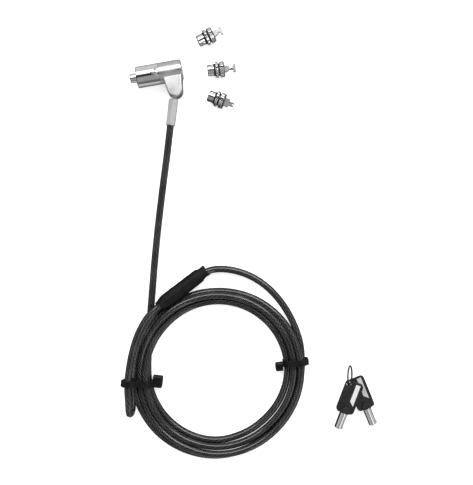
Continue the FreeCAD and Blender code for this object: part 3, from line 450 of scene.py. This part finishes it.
@dataclass(frozen=True)
class Coil:
    """The tied bundle as stations of one strand that spirals outwards.

    Attributes:
        center: the bundle's centre in x and y, in mm.
        stations: angle in degrees, distance from the centre and height in mm where the strand passes.
        step: angle between the route's points, in degrees.
        pull: how far the route's points stand outside the arc, as a power of the step's cosine.
        lift: extra height inside a tie, in mm.
        tie_reach: angle over which the strand rises to a tie, in degrees.
        tie_angles: angles of the two ties, in degrees.
    """

    center: tuple[float, float] = (-28.0, -113.3)
    stations: tuple[Point, ...] = COIL_STATIONS
    step: float = 12.0
    pull: float = 0.75
    lift: float = 1.2
    tie_reach: float = 22.0
    tie_angles: tuple[float, float] = (5.5, 185.7)

    def points(self) -> list[Point]:
        """Control points of every turn, from the innermost strand outwards.

        Returns:
            Points in mm.
        """
        angles, radii, heights = zip(*self.stations)
        first, last = angles[0], angles[-1]
        count = round((last - first) / self.step)
        outward = 1 / math.cos(math.radians(self.step) / 2) ** self.pull
        found = []
        for i in range(count + 1):
            angle = first + (last - first) * i / count
            radius = float(np.interp(angle, angles, radii)) * outward
            height = float(np.interp(angle, angles, heights))
            apart = min(abs((angle - tie + 180) % 360 - 180) for tie in self.tie_angles)
            height += self.lift * max(0.0, 1 - apart / self.tie_reach) ** 2
            turn = math.radians(angle)
            x = self.center[0] + radius * math.cos(turn)
            y = self.center[1] + radius * math.sin(turn)
            found.append((x, y, height))
        return found


def smooth_line(points: Sequence[Point]) -> list[Vector]:
    """Follows one smooth spline through a route.

    Args:
        points: the route's control points in mm.

    Returns:
        Points along the spline, close together, in metres.
    """
    curve = bpy.data.curves.new("route", "CURVE")
    curve.dimensions = "3D"
    curve.resolution_u = 7
    spline = curve.splines.new("NURBS")
    spline.points.add(len(points) - 1)
    for point, spot in zip(spline.points, points):
        point.co = (*(Vector(spot) * MM), 1.0)
    spline.order_u = 3
    spline.use_endpoint_u = True
    holder = bpy.data.objects.new("route", curve)
    bpy.context.collection.objects.link(holder)
    line = bpy.data.meshes.new_from_object(holder)
    found = [v.co.copy() for v in line.vertices]
    bpy.data.objects.remove(holder)
    bpy.data.meshes.remove(line)
    return found


def lofted(made: bmesh.types.BMesh, rings: list[list[bmesh.types.BMVert]]) -> list[bmesh.types.BMFace]:
    """Skins a row of equal rings and closes both ends.

    Args:
        made: the mesh data that the rings are in.
        rings: the vertices of each ring.

    Returns:
        The faces between the rings, row by row.
    """
    faces = []
    for a, b in zip(rings, rings[1:]):
        for k in range(len(a)):
            n = (k + 1) % len(a)
            faces.append(made.faces.new((a[k], a[n], b[n], b[k])))
    made.faces.new(rings[0][::-1])
    made.faces.new(rings[-1])
    return faces


def tube(name: str, line: Sequence[Vector], radius: Callable[[float], float], sides: int = 20) -> Piece:
    """A closed tube round a line, with its length and the way round stored as a UV layer.

    Args:
        name: the object's name.
        line: points along its middle.
        radius: radius for a distance along it, both in metres.
        sides: faces round the tube.

    Returns:
        The tube.
    """
    made = bmesh.new()
    layer = made.loops.layers.uv.new("along")
    last = len(line) - 1
    tangents = [(line[min(i + 1, last)] - line[max(i - 1, 0)]).normalized() for i in range(last + 1)]
    side = tangents[0].orthogonal().normalized()
    run = 0.0
    rings, runs = [], []
    for i, (spot, along) in enumerate(zip(line, tangents)):
        if i:
            run += (spot - line[i - 1]).length
            side = (tangents[i - 1].rotation_difference(along) @ side).normalized()
        other = along.cross(side)
        reach = radius(run)
        ring = []
        for k in range(sides):
            turn = math.tau * k / sides
            ring.append(made.verts.new(spot + (side * math.cos(turn) + other * math.sin(turn)) * reach))
        rings.append(ring)
        runs.append(run)
    for index, face in enumerate(lofted(made, rings)):
        i, k = divmod(index, sides)
        places = ((k, i), (k + 1, i), (k + 1, i + 1), (k, i + 1))
        for loop, (step, row) in zip(face.loops, places):
            loop[layer].uv = (step / sides, runs[row])
    bmesh.ops.recalc_face_normals(made, faces=made.faces)
    return finished(name, made, 40.0)


def finished(name: str, made: bmesh.types.BMesh, smooth_angle: float = 35.0) -> Piece:
    """Turns mesh data into an object shaded smooth up to an angle.

    Args:
        name: the object's name.
        made: the mesh data, which is freed.
        smooth_angle: sharper edges than this stay crisp, in degrees.

    Returns:
        The new object, in the scene.
    """
    limit = math.radians(smooth_angle)
    for edge in made.edges:
        edge.smooth = len(edge.link_faces) == 2 and edge.calc_face_angle(0.0) < limit
    for face in made.faces:
        face.smooth = True
    mesh = bpy.data.meshes.new(name)
    made.to_mesh(mesh)
    made.free()
    piece = bpy.data.objects.new(name, mesh)
    bpy.context.collection.objects.link(piece)
    return piece


def apply_modifiers(piece: Piece) -> None:
    """Makes the result of a piece's modifiers its plain mesh.

    Args:
        piece: the piece with its modifiers.
    """
    graph = bpy.context.evaluated_depsgraph_get()
    mesh = bpy.data.meshes.new_from_object(piece.evaluated_get(graph), depsgraph=graph)
    piece.modifiers.clear()
    piece.data = mesh


def settle(piece: Piece, finish: Finish, body: Body, *nodes: str) -> Piece:
    """Gives a piece its finish, makes it ride on a body and stand for CAD nodes.

    Args:
        piece: the piece.
        finish: its finish.
        body: the body that it moves with.
        nodes: CAD nodes that it stands for.

    Returns:
        The same piece.
    """
    piece.data.materials.clear()
    piece.data.materials.append(finish.material())
    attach(piece, body.value)
    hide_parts(*nodes)
    faces = len(piece.data.polygons)
    log.info("%s: %d faces, rides on %s, stands for %s", piece.name, faces, body.value, ", ".join(nodes))
    return piece


SATIN = Metal("satin_steel_finish", "satin_steel", tone=0.74, rough=0.3, relief=0.2)
BRIGHT = Metal("bright_plate_finish", "chrome", tone=0.82, rough=0.1, relief=0.08)
YOKE_PLATE = Metal("yoke_plate_finish", "chrome", tone=0.62, rough=0.26, relief=0.1)
TIP_PLATE = Metal("tip_plate_finish", "chrome", tone=0.45, rough=0.12, relief=0.1)
DULL_PLATE = Metal("dull_plate_finish", "chrome", tone=0.5, rough=0.26, relief=0.15)
DARK_METAL = Metal("dark_metal_finish", "dark_metal", tone=0.06, rough=0.35, relief=0.2)
BRASS = Metal("brass_finish", "brass", tone=0.6, rough=0.3, warm=0.25)
JACKET = Jacket("jacket_finish", "jacket")
SLEEVE = Plastic(
    "sleeve_finish", "sleeve_black", tone=0.006, rough=0.5, pebble=1500.0, relief=0.3, gloss=0.1
)
NYLON = Plastic("tie_finish", "black_nylon", tone=0.005, rough=0.3, pebble=1800.0, relief=0.15, gloss=0.25)
BOW = Plastic("bow_finish", "bow_black", tone=0.013, rough=0.5, pebble=3000.0, relief=0.4, gloss=0.25)
RUBBER = Plastic("ring_finish", "ring_black", tone=0.012, rough=0.42)
FRONT_LABEL = Plastic("front_label_finish", "label_white", tone=0.72, rough=0.5, wear=0.05, relief=0.1)
BACK_LABEL = Plastic("back_label_finish", "label_white", tone=0.5, rough=0.5, wear=0.08, relief=0.1)
TABLE = Table("table_finish", "")

ROUNDING = 0.12 * MM
FINE_ROUNDING = 0.03 * MM
BOW_ROUNDING = 0.3 * MM
SHARP_ANGLE = 28.0


class Look:
    """One piece of the visual model."""

    def build(self) -> Piece:
        """Makes the piece and settles it on its body."""
        raise NotImplementedError


@dataclass(frozen=True)
class Cable(Look):
    """The whole steel cable: lead, coil, tail, and the eye beyond its sleeve.

    Attributes:
        diameter: its thickness over the jacket, in metres.
        coil: its wound part.
    """

    diameter: float = 5.5 * MM
    coil: Coil = Coil()

    def build(self) -> Piece:
        """Returns:
            The cable.
        """
        line = smooth_line([*LEAD, *self.coil.points(), *TAIL, *CRIMP, *EYE])
        piece = tube("cable", line, lambda run: self.diameter / 2)
        settle(piece, JACKET, Body.CABLE, "cable_lead", "cable_coil", "cable_tail", "cable_eye")
        return piece


@dataclass(frozen=True)
class Refined(Look):
    """A CAD node's own shape with smooth shading and slightly rounded edges.

    Attributes:
        node: the CAD node.
        body: the body that it moves with.
        finish: its finish.
        rounding: width of the rounded edges in metres, or 0 for none.
    """

    node: str
    body: Body
    finish: Finish
    rounding: float = ROUNDING

    def build(self) -> Piece:
        """Makes the piece that stands for the node.

        Returns:
            The piece.
        """
        made = bmesh.new()
        made.from_mesh(frame["nodes"][self.node].data)
        bmesh.ops.remove_doubles(made, verts=made.verts, dist=0.002 * MM)
        bmesh.ops.dissolve_limit(made, angle_limit=math.radians(0.5), verts=made.verts, edges=made.edges)
        piece = finished(f"{self.node}_look", made, SHARP_ANGLE)
        if self.rounding > 0:
            bevel = piece.modifiers.new("rounding", "BEVEL")
            bevel.width = self.rounding
            bevel.segments = 2
            bevel.limit_method = "ANGLE"
            bevel.angle_limit = math.radians(SHARP_ANGLE)
            bevel.harden_normals = True
            apply_modifiers(piece)
        return settle(piece, self.finish, self.body, self.node)


@dataclass(frozen=True)
class ShrunkSleeve(Look):
    """The heat-shrunk tube over the crimp: tall mouth, full middle, waisted and frayed far end.

    Attributes:
        begin: middle of the mouth beside the eye, in mm.
        end: middle of the far end, in mm.
        wall: thickness of the wall, in mm.
        open_depth: how far both ends are hollow, in mm.
        sides: faces round the sleeve.
        rows: rows of faces along the outside.
        ripple: height of the shallow waves in the skin, in mm.
        fray_reach: length over which the torn edge fades out, in mm.
        frays: height in mm, count and phase of each wave of the torn edge.
        sections: distance from the mouth, half width and half height of each outer cross-section, in mm.
    """

    begin: Point = (-74.9, -62.1, 10.0)
    end: Point = (-37.1, -33.2, 6.2)
    wall: float = 0.6
    open_depth: float = 3.0
    sides: int = 48
    rows: int = 60
    ripple: float = 0.07
    fray_reach: float = 3.0
    frays: tuple[Point, ...] = ((0.45, 2.0, 0.6), (0.25, 5.0, 47.6))
    sections: tuple[Point, ...] = (
        (0.0, 3.7, 5.5), (1.6, 3.9, 5.5), (4.2, 4.9, 5.6), (7.0, 5.6, 5.7),
        (11.0, 5.75, 5.75), (20.0, 5.7, 5.7), (29.0, 5.75, 5.75), (36.5, 5.7, 5.6),
        (40.3, 5.6, 5.2), (42.0, 4.9, 4.5), (43.3, 4.45, 4.0), (45.5, 4.45, 3.9),
        (47.6, 4.75, 3.9),
    )

    def build(self) -> Piece:
        """Lofts the sleeve through its sections.

        Returns:
            The sleeve.
        """
        made = bmesh.new()
        start = Vector(self.begin) * MM
        along = (Vector(self.end) * MM - start).normalized()
        across = Vector((-along.y, along.x, 0.0)).normalized()
        upward = along.cross(across)
        rings = []
        for (distance, wide, high), torn in self.layers():
            ring = []
            for k in range(self.sides):
                turn = math.tau * k / self.sides
                ripple = self.ripple * math.sin(3 * turn + distance * 0.5) * math.sin(distance * 0.37 + 1)
                spot = start + along * (distance + self.fray_at(turn) * torn) * MM
                spot += across * math.cos(turn) * (wide + ripple) * MM
                spot += upward * math.sin(turn) * (high + ripple) * MM
                ring.append(made.verts.new(spot))
            rings.append(ring)
        lofted(made, rings)
        bmesh.ops.recalc_face_normals(made, faces=made.faces)
        piece = finished("heat_shrink_sleeve_look", made, 50.0)
        return settle(piece, SLEEVE, Body.CABLE, "heat_shrink_sleeve")

    def layers(self) -> list[tuple[Point, float]]:
        """The rings of the surface: out of the mouth, along the outside and into the far end.

        Returns:
            Each ring's cross-section, and its share of the torn edge's shape from 0 to 1.
        """
        last = self.sections[-1][0]
        mouth = [(self.at(distance, self.wall), 0.0) for distance in (self.open_depth, 0.0)]
        outside = [self.at(last * i / self.rows) for i in range(self.rows + 1)]
        torn = [max(0.0, 1 - (last - distance) / self.fray_reach) for distance, _, _ in outside]
        inside = [(self.at(distance, self.wall), 1.0) for distance in (last, last - self.open_depth)]
        return [*mouth, *zip(outside, torn), *inside]

    def at(self, distance: float, inset: float = 0.0) -> Point:
        """The cross-section at a distance along the sleeve.

        Args:
            distance: distance from the mouth, in mm.
            inset: how far inside the outer surface it lies, in mm.

        Returns:
            The distance, the half width and the half height, in mm.
        """
        marks, widths, heights = zip(*self.sections)
        wide = float(np.interp(distance, marks, widths))
        high = float(np.interp(distance, marks, heights))
        return (distance, wide - inset, high - inset)

    def fray_at(self, turn: float) -> float:
        """How far the torn far edge stands out at an angle, in mm."""
        return sum(height * math.sin(count * turn + phase) for height, count, phase in self.frays)


@dataclass(frozen=True)
class CrimpBarrel(Look):
    """The pressed metal barrel inside the sleeve, rounded at both ends.

    Attributes:
        begin: middle of one end, in mm.
        end: middle of the other end, in mm.
        radius: its radius in metres.
        rounding: radius of the rounded ends in metres.
        steps: rows of faces on a rounded end.
    """

    begin: Point = (-68.6, -57.3, 9.37)
    end: Point = (-44.6, -38.9, 6.96)
    radius: float = 5.0 * MM
    rounding: float = 1.2 * MM
    steps: int = 6

    def build(self) -> Piece:
        """Makes the barrel.

        Returns:
            The barrel.
        """
        start, stop = (Vector(spot) * MM for spot in (self.begin, self.end))
        length = (stop - start).length
        angles = [math.pi / 2 * i / self.steps for i in range(self.steps + 1)]
        marks = [self.rounding * (1 - math.cos(angle)) for angle in angles]
        places = [*marks, *[length - mark for mark in reversed(marks)]]
        line = [start.lerp(stop, place / length) for place in places]
        piece = tube("crimp_barrel_look", line, lambda run: self.radius_at(min(run, length - run)), 32)
        return settle(piece, SATIN, Body.CABLE, "crimp_barrel")

    def radius_at(self, near: float) -> float:
        """The radius at a distance from the nearer end, both in metres."""
        dip = max(0.0, 1 - near / self.rounding)
        return self.radius - self.rounding * (1 - math.sqrt(max(0.0, 1 - dip * dip)))


def placement(spot: Point, turn: float) -> Matrix:
    """Where a thing lies: its spot in mm and its turn about the vertical in degrees."""
    return Matrix.Translation(Vector(spot) * MM) @ Matrix.Rotation(math.radians(turn), 4, "Z")


@dataclass(frozen=True)
class TieHead(Look):
    """A tie's head: a rounded block with a recessed window on top. All lengths are in mm.

    Attributes:
        side: the tie that it belongs to, "left" or "right".
        spot: a point near the coil's middle that its place is measured from.
        turn: direction from there to the head, in degrees.
        near: distance of its inner face from the spot.
        far: distance of its outer face from the spot.
        width: its width across that direction.
        bottom: height of its underside.
        top: height of its upper side.
        corner: radius of its rounded corners.
        frame: width of the border round the window.
        slope: width of the window's sloping edge.
        recess: depth of the window.
    """

    side: str
    spot: Point
    turn: float
    near: float
    far: float
    width: float
    bottom: float
    top: float
    corner: float = 1.5
    frame: float = 0.9
    slope: float = 0.15
    recess: float = 0.7

    def build(self) -> Piece:
        """Makes the head.

        Returns:
            The head.
        """
        made = bmesh.new()
        bmesh.ops.create_cube(made, size=1.0)
        size = Vector((self.far - self.near, self.width, self.top - self.bottom)) * MM
        middle = Vector(((self.far + self.near) / 2, 0.0, (self.top + self.bottom) / 2)) * MM
        for vert in made.verts:
            vert.co = Vector(a * b for a, b in zip(vert.co, size)) + middle
        free = [e for e in made.edges if min(v.co.x for v in e.verts) < middle.x]
        bmesh.ops.bevel(made, geom=free, offset=self.corner * MM, segments=5, profile=0.6, affect="EDGES")
        roof = max(made.faces, key=lambda f: (round(f.calc_center_median().z, 6), f.calc_area()))
        bmesh.ops.inset_region(made, faces=[roof], thickness=self.frame * MM, depth=0.0)
        bmesh.ops.inset_region(made, faces=[roof], thickness=self.slope * MM, depth=-self.recess * MM)
        bmesh.ops.transform(made, matrix=placement(self.spot, self.turn), verts=made.verts)
        bmesh.ops.recalc_face_normals(made, faces=made.faces)
        piece = finished(f"{self.side}_tie_head_look", made, 40.0)
        return settle(piece, NYLON, Body.CABLE, f"{self.side}_tie_head")


HEAD_PLACE = placement((-91.7, 118.5, 8.4), 10.0)


def span_along_head(node: str) -> tuple[float, float]:
    """Where a CAD node begins and ends along the lock's axis.

    Args:
        node: the CAD node.

    Returns:
        Its least and greatest place on the axis, in metres.
    """
    back = HEAD_PLACE.inverted()
    reach = [(back @ v.co).x for v in frame["nodes"][node].data.vertices]
    return min(reach), max(reach)


@dataclass(frozen=True)
class ReturnSpring(Look):
    """The push plug's return spring, kept in its CAD shape.

    Attributes:
        travel: how far the plug goes in, in metres; not used.
    """

    travel: float = 4.0 * MM

    def build(self) -> Piece:
        """Makes the spring from its CAD node, with a mesh of its own.

        Returns:
            The spring.
        """
        piece = Refined("plug_spring", Body.HEAD, SATIN, 0.0).build()
        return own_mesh(piece)


@dataclass(frozen=True)
class PinRing(Look):
    """Equal pins or springs on the lock's pin circle, made by a geometry node tree.

    Attributes:
        node: the CAD node that they stand for.
        body: the body that they move with.
        finish: their finish.
        reach: outer radius of one, in metres.
        wire: wire radius of a spring in metres, or 0 for a solid pin.
        turns: turns of a spring.
        count: how many there are.
        circle: radius of the circle that they stand on, in metres.
        end_share: how wide a pin's end is, as a share of its full width.
        rows: points along a pin, or along one turn of a spring.
        sides: faces round a pin, or round a spring's wire.
    """

    node: str
    body: Body
    finish: Finish
    reach: float
    wire: float = 0.0
    turns: float = 7.0
    count: int = 7
    circle: float = 2.65 * MM
    end_share: float = 0.72
    rows: int = 14
    sides: int = 18

    def build(self) -> Piece:
        """Evaluates the tree once and keeps its plain mesh.

        Returns:
            The ring of pins.
        """
        begin, end = span_along_head(self.node)
        given = {
            "Count": self.count,
            "Circle": self.circle,
            "Reach": self.reach,
            "Wire": self.wire,
            "Turns": self.turns,
            "Length": end - begin,
            "Seed": SEED,
        }
        tree = self.tree(given)
        piece = bpy.data.objects.new(f"{self.node}_look", bpy.data.meshes.new(self.node))
        bpy.context.collection.objects.link(piece)
        modifier = piece.modifiers.new("pins", "NODES")
        modifier.node_group = tree
        for item in tree.interface.items_tree:
            if item.in_out == "INPUT":
                modifier[item.identifier] = given[item.name]
        apply_modifiers(piece)
        cyclic = Matrix(((0, 0, 1, 0), (1, 0, 0, 0), (0, 1, 0, 0), (0, 0, 0, 1)))
        piece.data.transform(HEAD_PLACE @ Matrix.Translation((begin, 0, 0)) @ cyclic)
        return settle(piece, self.finish, self.body, self.node)

    def tree(self, given: dict[str, int | float]) -> bpy.types.NodeTree:
        """The node tree: one pin or spring, set on every point of the circle.

        Args:
            given: the tree's inputs by name, with their values.

        Returns:
            The tree.
        """
        tree = bpy.data.node_groups.new(f"{self.node}_tree", "GeometryNodeTree")
        for label, value in given.items():
            kind = "NodeSocketInt" if isinstance(value, int) else "NodeSocketFloat"
            tree.interface.new_socket(label, in_out="INPUT", socket_type=kind)
        tree.interface.new_socket("Geometry", in_out="OUTPUT", socket_type="NodeSocketGeometry")
        build = Builder(tree)
        source = build.node("NodeGroupInput")
        inputs = {label: Signal(build, source.outputs[label]) for label in given}
        circle = {"Vertices": inputs["Count"], "Radius": inputs["Circle"]}
        points = build.signal("GeometryNodeMeshCircle", circle)
        one = self.spring(build, inputs) if self.wire > 0 else self.pin(build, inputs)
        limits = {2: 0.0, 3: math.tau, "Seed": inputs["Seed"]}
        spin = build.signal("FunctionNodeRandomValue", limits, 1)
        turn = build.signal("ShaderNodeCombineXYZ", {"Z": spin})
        standing = {"Points": points, "Instance": one, "Rotation": turn}
        placed = build.signal("GeometryNodeInstanceOnPoints", standing)
        real = build.signal("GeometryNodeRealizeInstances", {0: placed})
        skin = {"Geometry": real, "Material": self.finish.material()}
        painted = build.signal("GeometryNodeSetMaterial", skin)
        build.node("NodeGroupOutput", {0: painted})
        return tree

    def pin(self, build: Builder, inputs: dict[str, Signal]) -> Signal:
        """A solid pin along Z with narrowed ends.

        Args:
            build: the tree's builder.
            inputs: the tree's inputs by name.

        Returns:
            The pin's mesh.
        """
        top = build.signal("ShaderNodeCombineXYZ", {"Z": inputs["Length"]})
        line = build.signal("GeometryNodeCurvePrimitiveLine", {"End": top})
        spots = build.signal("GeometryNodeResampleCurve", {"Curve": line, "Count": self.rows})
        ends = build.signal("GeometryNodeCurveEndpointSelection", {"Start Size": 1, "End Size": 1})
        even = build.signal("GeometryNodeSetCurveRadius", {"Curve": spots, "Radius": 1.0})
        slim = {"Curve": even, "Selection": ends, "Radius": self.end_share}
        narrow = build.signal("GeometryNodeSetCurveRadius", slim)
        return self.swept(narrow, inputs["Reach"])

    def spring(self, build: Builder, inputs: dict[str, Signal]) -> Signal:
        """A small coil spring along Z.

        Args:
            build: the tree's builder.
            inputs: the tree's inputs by name.

        Returns:
            The spring's mesh.
        """
        middle = inputs["Reach"] - inputs["Wire"]
        shape = {
            "Resolution": self.rows,
            "Rotations": inputs["Turns"],
            "Start Radius": middle,
            "End Radius": middle,
            "Height": inputs["Length"] - inputs["Wire"] * 2.0,
        }
        coil = build.signal("GeometryNodeCurveSpiral", shape)
        lift = build.signal("ShaderNodeCombineXYZ", {"Z": inputs["Wire"]})
        raised = build.signal("GeometryNodeSetPosition", {"Geometry": coil, "Offset": lift})
        return self.swept(raised, inputs["Wire"])

    def swept(self, path: Signal, radius: Signal) -> Signal:
        """A closed round bar along a path.

        Args:
            path: the curve along its middle.
            radius: its radius.

        Returns:
            The bar's mesh.
        """
        build = path.builder
        ring = build.signal("GeometryNodeCurvePrimitiveCircle", {"Resolution": self.sides, "Radius": radius})
        bar = {"Curve": path, "Profile Curve": ring, "Fill Caps": True}
        return build.signal("GeometryNodeCurveToMesh", bar)


@dataclass(frozen=True)
class Lamp:
    """A soft rectangular lamp: where it hangs, its width and height in mm, and its power in watts."""

    name: str
    spot: Point
    size: tuple[float, float]
    power: float

    def build(self, aim: Point) -> None:
        """Hangs the lamp.

        Args:
            aim: the spot that it points at, in mm.
        """
        light = bpy.data.lights.new(self.name, "AREA")
        light.shape = "RECTANGLE"
        light.size = self.size[0] * MM
        light.size_y = self.size[1] * MM
        light.energy = self.power
        holder = bpy.data.objects.new(self.name, light)
        holder.location = Vector(self.spot) * MM
        way = Vector(aim) * MM - holder.location
        holder.rotation_euler = way.to_track_quat("-Z", "Y").to_euler()
        bpy.context.collection.objects.link(holder)


@dataclass(frozen=True)
class Room:
    """The plain grey fields round the table that the metal mirrors. Each number is a brightness.

    Attributes:
        overhead: the ceiling.
        far: the far wall.
        near: the near side of the ceiling and the near wall.
        low: the foot of the near wall, and straight below.
        left: the left wall.
        right: the right wall.
        gleam: a bright line between the ceiling and the right wall.
        card: a dark card above the near side, and the left side below the table.
        under: the far and near sides below the table.
        rim: the right side below the table.
    """

    overhead: float = 0.62
    far: float = 0.72
    near: float = 0.35
    low: float = 0.16
    left: float = 0.55
    right: float = 0.6
    gleam: float = 1.9
    card: float = 0.02
    under: float = 0.74
    rim: float = 0.3

    def build(self) -> None:
        """Makes the world and shades it by direction."""
        world = bpy.data.worlds.new("studio")
        bpy.context.scene.world = world
        world.use_nodes = True
        build = Builder(world.node_tree)
        across, sideways, upwards = build.split(build.coords("Generated"))
        slope = sideways * (upwards * upwards + sideways * sideways + 1e-4).inverse_root()
        above = self.ceiling(across, slope)
        below = self.floor(across, upwards)
        middle = (across * across).spread(0.06, 0.2, 1.0, 0.0)
        strip = slope.spread(-0.32, -0.22) * slope.spread(0.09, 0.16, 1.0, 0.0) * middle
        carded = build.mix(strip, above, grey(self.card))
        room = build.mix(upwards.above(0.0), below, carded)
        build.fill(world.node_tree.nodes["Background"].inputs[0], room)

    def ceiling(self, across: Signal, slope: Signal) -> Signal:
        """What lies above the table: near and far walls, ceiling, side walls and the bright line.

        Args:
            across: the direction's part to the right.
            slope: how far the direction leans to the far side, from -1 to 1.

        Returns:
            The colour.
        """
        build = across.builder
        near = build.mix(slope.spread(-0.95, -0.85), grey(self.low), grey(self.near))
        beyond = build.mix(slope.spread(0.8, 0.92), grey(self.overhead), grey(self.far))
        plain = build.mix(slope.spread(-0.05, 0.15), near, beyond)
        sides = build.mix(across.above(0.0), grey(self.left), grey(self.right))
        walled = build.mix((across * across).spread(0.15, 0.45), plain, sides)
        line = across.spread(0.24, 0.28) * across.spread(0.4, 0.45, 1.0, 0.0)
        return build.mix(line, walled, grey(self.gleam))

    def floor(self, across: Signal, upwards: Signal) -> Signal:
        """What lies below the table's height: dark straight below, with a dark left and a dim right side.

        Args:
            across: the direction's part to the right.
            upwards: the direction's upward part.

        Returns:
            The colour.
        """
        build = across.builder
        plain = build.mix(upwards.spread(-1.0, -0.1), grey(self.low), grey(self.under))
        carded = build.mix(across.spread(-0.4, -0.3), grey(self.card), plain)
        return build.mix(across.spread(0.3, 0.4), carded, grey(self.rim))


@dataclass(frozen=True)
class Studio:
    """The table, the surroundings, the soft lamps and the camera above them.

    Attributes:
        eye: the camera's place in mm.
        field_mm: width of the table that the camera sees.
        sensor_mm: width of the camera's sensor.
        table_reach: how far the table goes from its middle, in metres.
        aim: spot that the lamps point at, in mm.
        lamps: the lamps.
        room: the surroundings.
    """

    eye: Point = (-13.2, -11.4, 560.0)
    field_mm: float = 378.4
    sensor_mm: float = 36.0
    table_reach: float = 12.0
    aim: Point = (-20.0, -20.0, 0.0)
    lamps: tuple[Lamp, ...] = (
        Lamp("softbox", (0.0, 1120.0, 1660.0), (3200.0, 1150.0), 12.6),
        Lamp("strip", (0.0, 1035.0, 1590.0), (2600.0, 260.0), 24.0),
        Lamp("fill", (1100.0, -1000.0, 1500.0), (800.0, 800.0), 2.4),
    )
    room: Room = Room()

    def build(self) -> None:
        """Adds the table, the surroundings, the lamps and the camera."""
        bpy.context.scene.view_settings.view_transform = "Standard"
        self.table()
        self.room.build()
        for lamp in self.lamps:
            lamp.build(self.aim)
        self.camera()

    def table(self) -> None:
        """A wide pale surface at z = 0."""
        made = bmesh.new()
        bmesh.ops.create_grid(made, x_segments=2, y_segments=2, size=self.table_reach)
        surface = finished("table", made)
        surface.data.materials.append(TABLE.material())
        surface.visible_glossy = False

    def camera(self) -> None:
        """A camera that looks straight down, as in the photograph."""
        lens = bpy.data.cameras.new("camera")
        lens.sensor_fit = "HORIZONTAL"
        lens.sensor_width = self.sensor_mm
        lens.lens = self.sensor_mm * self.eye[2] / self.field_mm
        lens.clip_start = 0.01
        holder = bpy.data.objects.new("camera", lens)
        holder.location = Vector(self.eye) * MM
        bpy.context.collection.objects.link(holder)
        bpy.context.scene.camera = holder


def tip_looks() -> list[Look]:
    """The three tips' pieces with their finishes.

    Returns:
        One look for each piece.
    """
    looks = []
    finishes = {"base": BRIGHT, "rear_disc": BRIGHT, "front_disc": BRIGHT, "rings": RUBBER}
    for body, moving, end, rounding in (
        (Body.TIP_1, Body.TIP_1_BAR, "t_bar", ROUNDING),
        (Body.TIP_2, Body.TIP_2_BAR, "t_bar", ROUNDING),
        (Body.TIP_3, Body.TIP_3_BLADE, "wedge", FINE_ROUNDING),
    ):
        for part, finish in finishes.items():
            looks.append(Refined(f"{body.value}_{part}", body, finish))
        looks.append(Refined(f"{body.value}_washer", body, DARK_METAL))
        looks.append(Refined(f"{body.value}_guard", body, TIP_PLATE, rounding))
        looks.append(Refined(f"{body.value}_{end}", moving, TIP_PLATE, rounding))
    return looks


def refined_looks() -> list[Look]:
    """Every CAD node that keeps its own shape, with its finish.

    Returns:
        One look for each node.
    """
    looks = [
        Refined("lock_body", Body.HEAD, BRIGHT),
        Refined("nose_rim", Body.HEAD, BRIGHT),
        Refined("index_stud", Body.HEAD, BRIGHT),
        Refined("cross_pin", Body.HEAD, DARK_METAL),
        Refined("plug_sleeve", Body.PLUG, BRIGHT),
        Refined("plug_rotor", Body.ROTOR, DULL_PLATE),
        Refined("pin_block", Body.PLUG, BRASS, 0.0),
        Refined("drive_spindle", Body.SPINDLE, SATIN, 0.0),
        Refined("swivel_yoke", Body.YOKE, YOKE_PLATE),
        Refined("pivot_pin", Body.CABLE, SATIN, 0.0),
        Refined("ferrule", Body.CABLE, SATIN),
        Refined("key_ring", Body.RING, DARK_METAL, 0.0),
        Refined("left_tie_strap", Body.CABLE, NYLON),
        Refined("right_tie_strap", Body.CABLE, NYLON),
    ]
    for body, label in ((Body.FRONT_KEY, FRONT_LABEL), (Body.BACK_KEY, BACK_LABEL)):
        looks.append(Refined(f"{body.value}_bow", body, BOW, BOW_ROUNDING))
        looks.append(Refined(f"{body.value}_barrel", body, BRIGHT))
        looks.append(Refined(f"{body.value}_label", body, label, 0.0))
    return looks + tip_looks()


def detailed_looks() -> list[Look]:
    """The pieces that get a shape of their own.

    Returns:
        One look for each piece.
    """
    return [
        ShrunkSleeve(),
        CrimpBarrel(),
        ReturnSpring(),
        TieHead("left", (-29.4, -126.5, 0.0), 173.8, 42.6, 50.4, 9.4, 1.2, 8.6),
        TieHead("right", (-27.9, -114.4, 0.0), 5.5, 45.8, 51.8, 6.8, 1.2, 7.6),
        PinRing("tumbler_pins", Body.ROTOR, BRASS, 0.48 * MM),
        PinRing("driver_pins", Body.PLUG, BRASS, 0.48 * MM),
        PinRing("pin_springs", Body.PLUG, SATIN, 0.43 * MM, wire=0.07 * MM, rows=20, sides=8),
    ]


def write_sizes() -> None:
    """Defines a helper for a box's corners as plain numbers; nothing is written."""

    def plain(box: object) -> list:
        """A box's corners as plain numbers."""
        return [[float(v) for v in corner] for corner in box]


def main() -> None:
    """Builds every piece, the table, lights and camera."""
    Studio().build()
    Cable().build()
    for look in (*refined_looks(), *detailed_looks()):
        look.build()
    write_sizes()


if __name__ == "__main__":
    main()
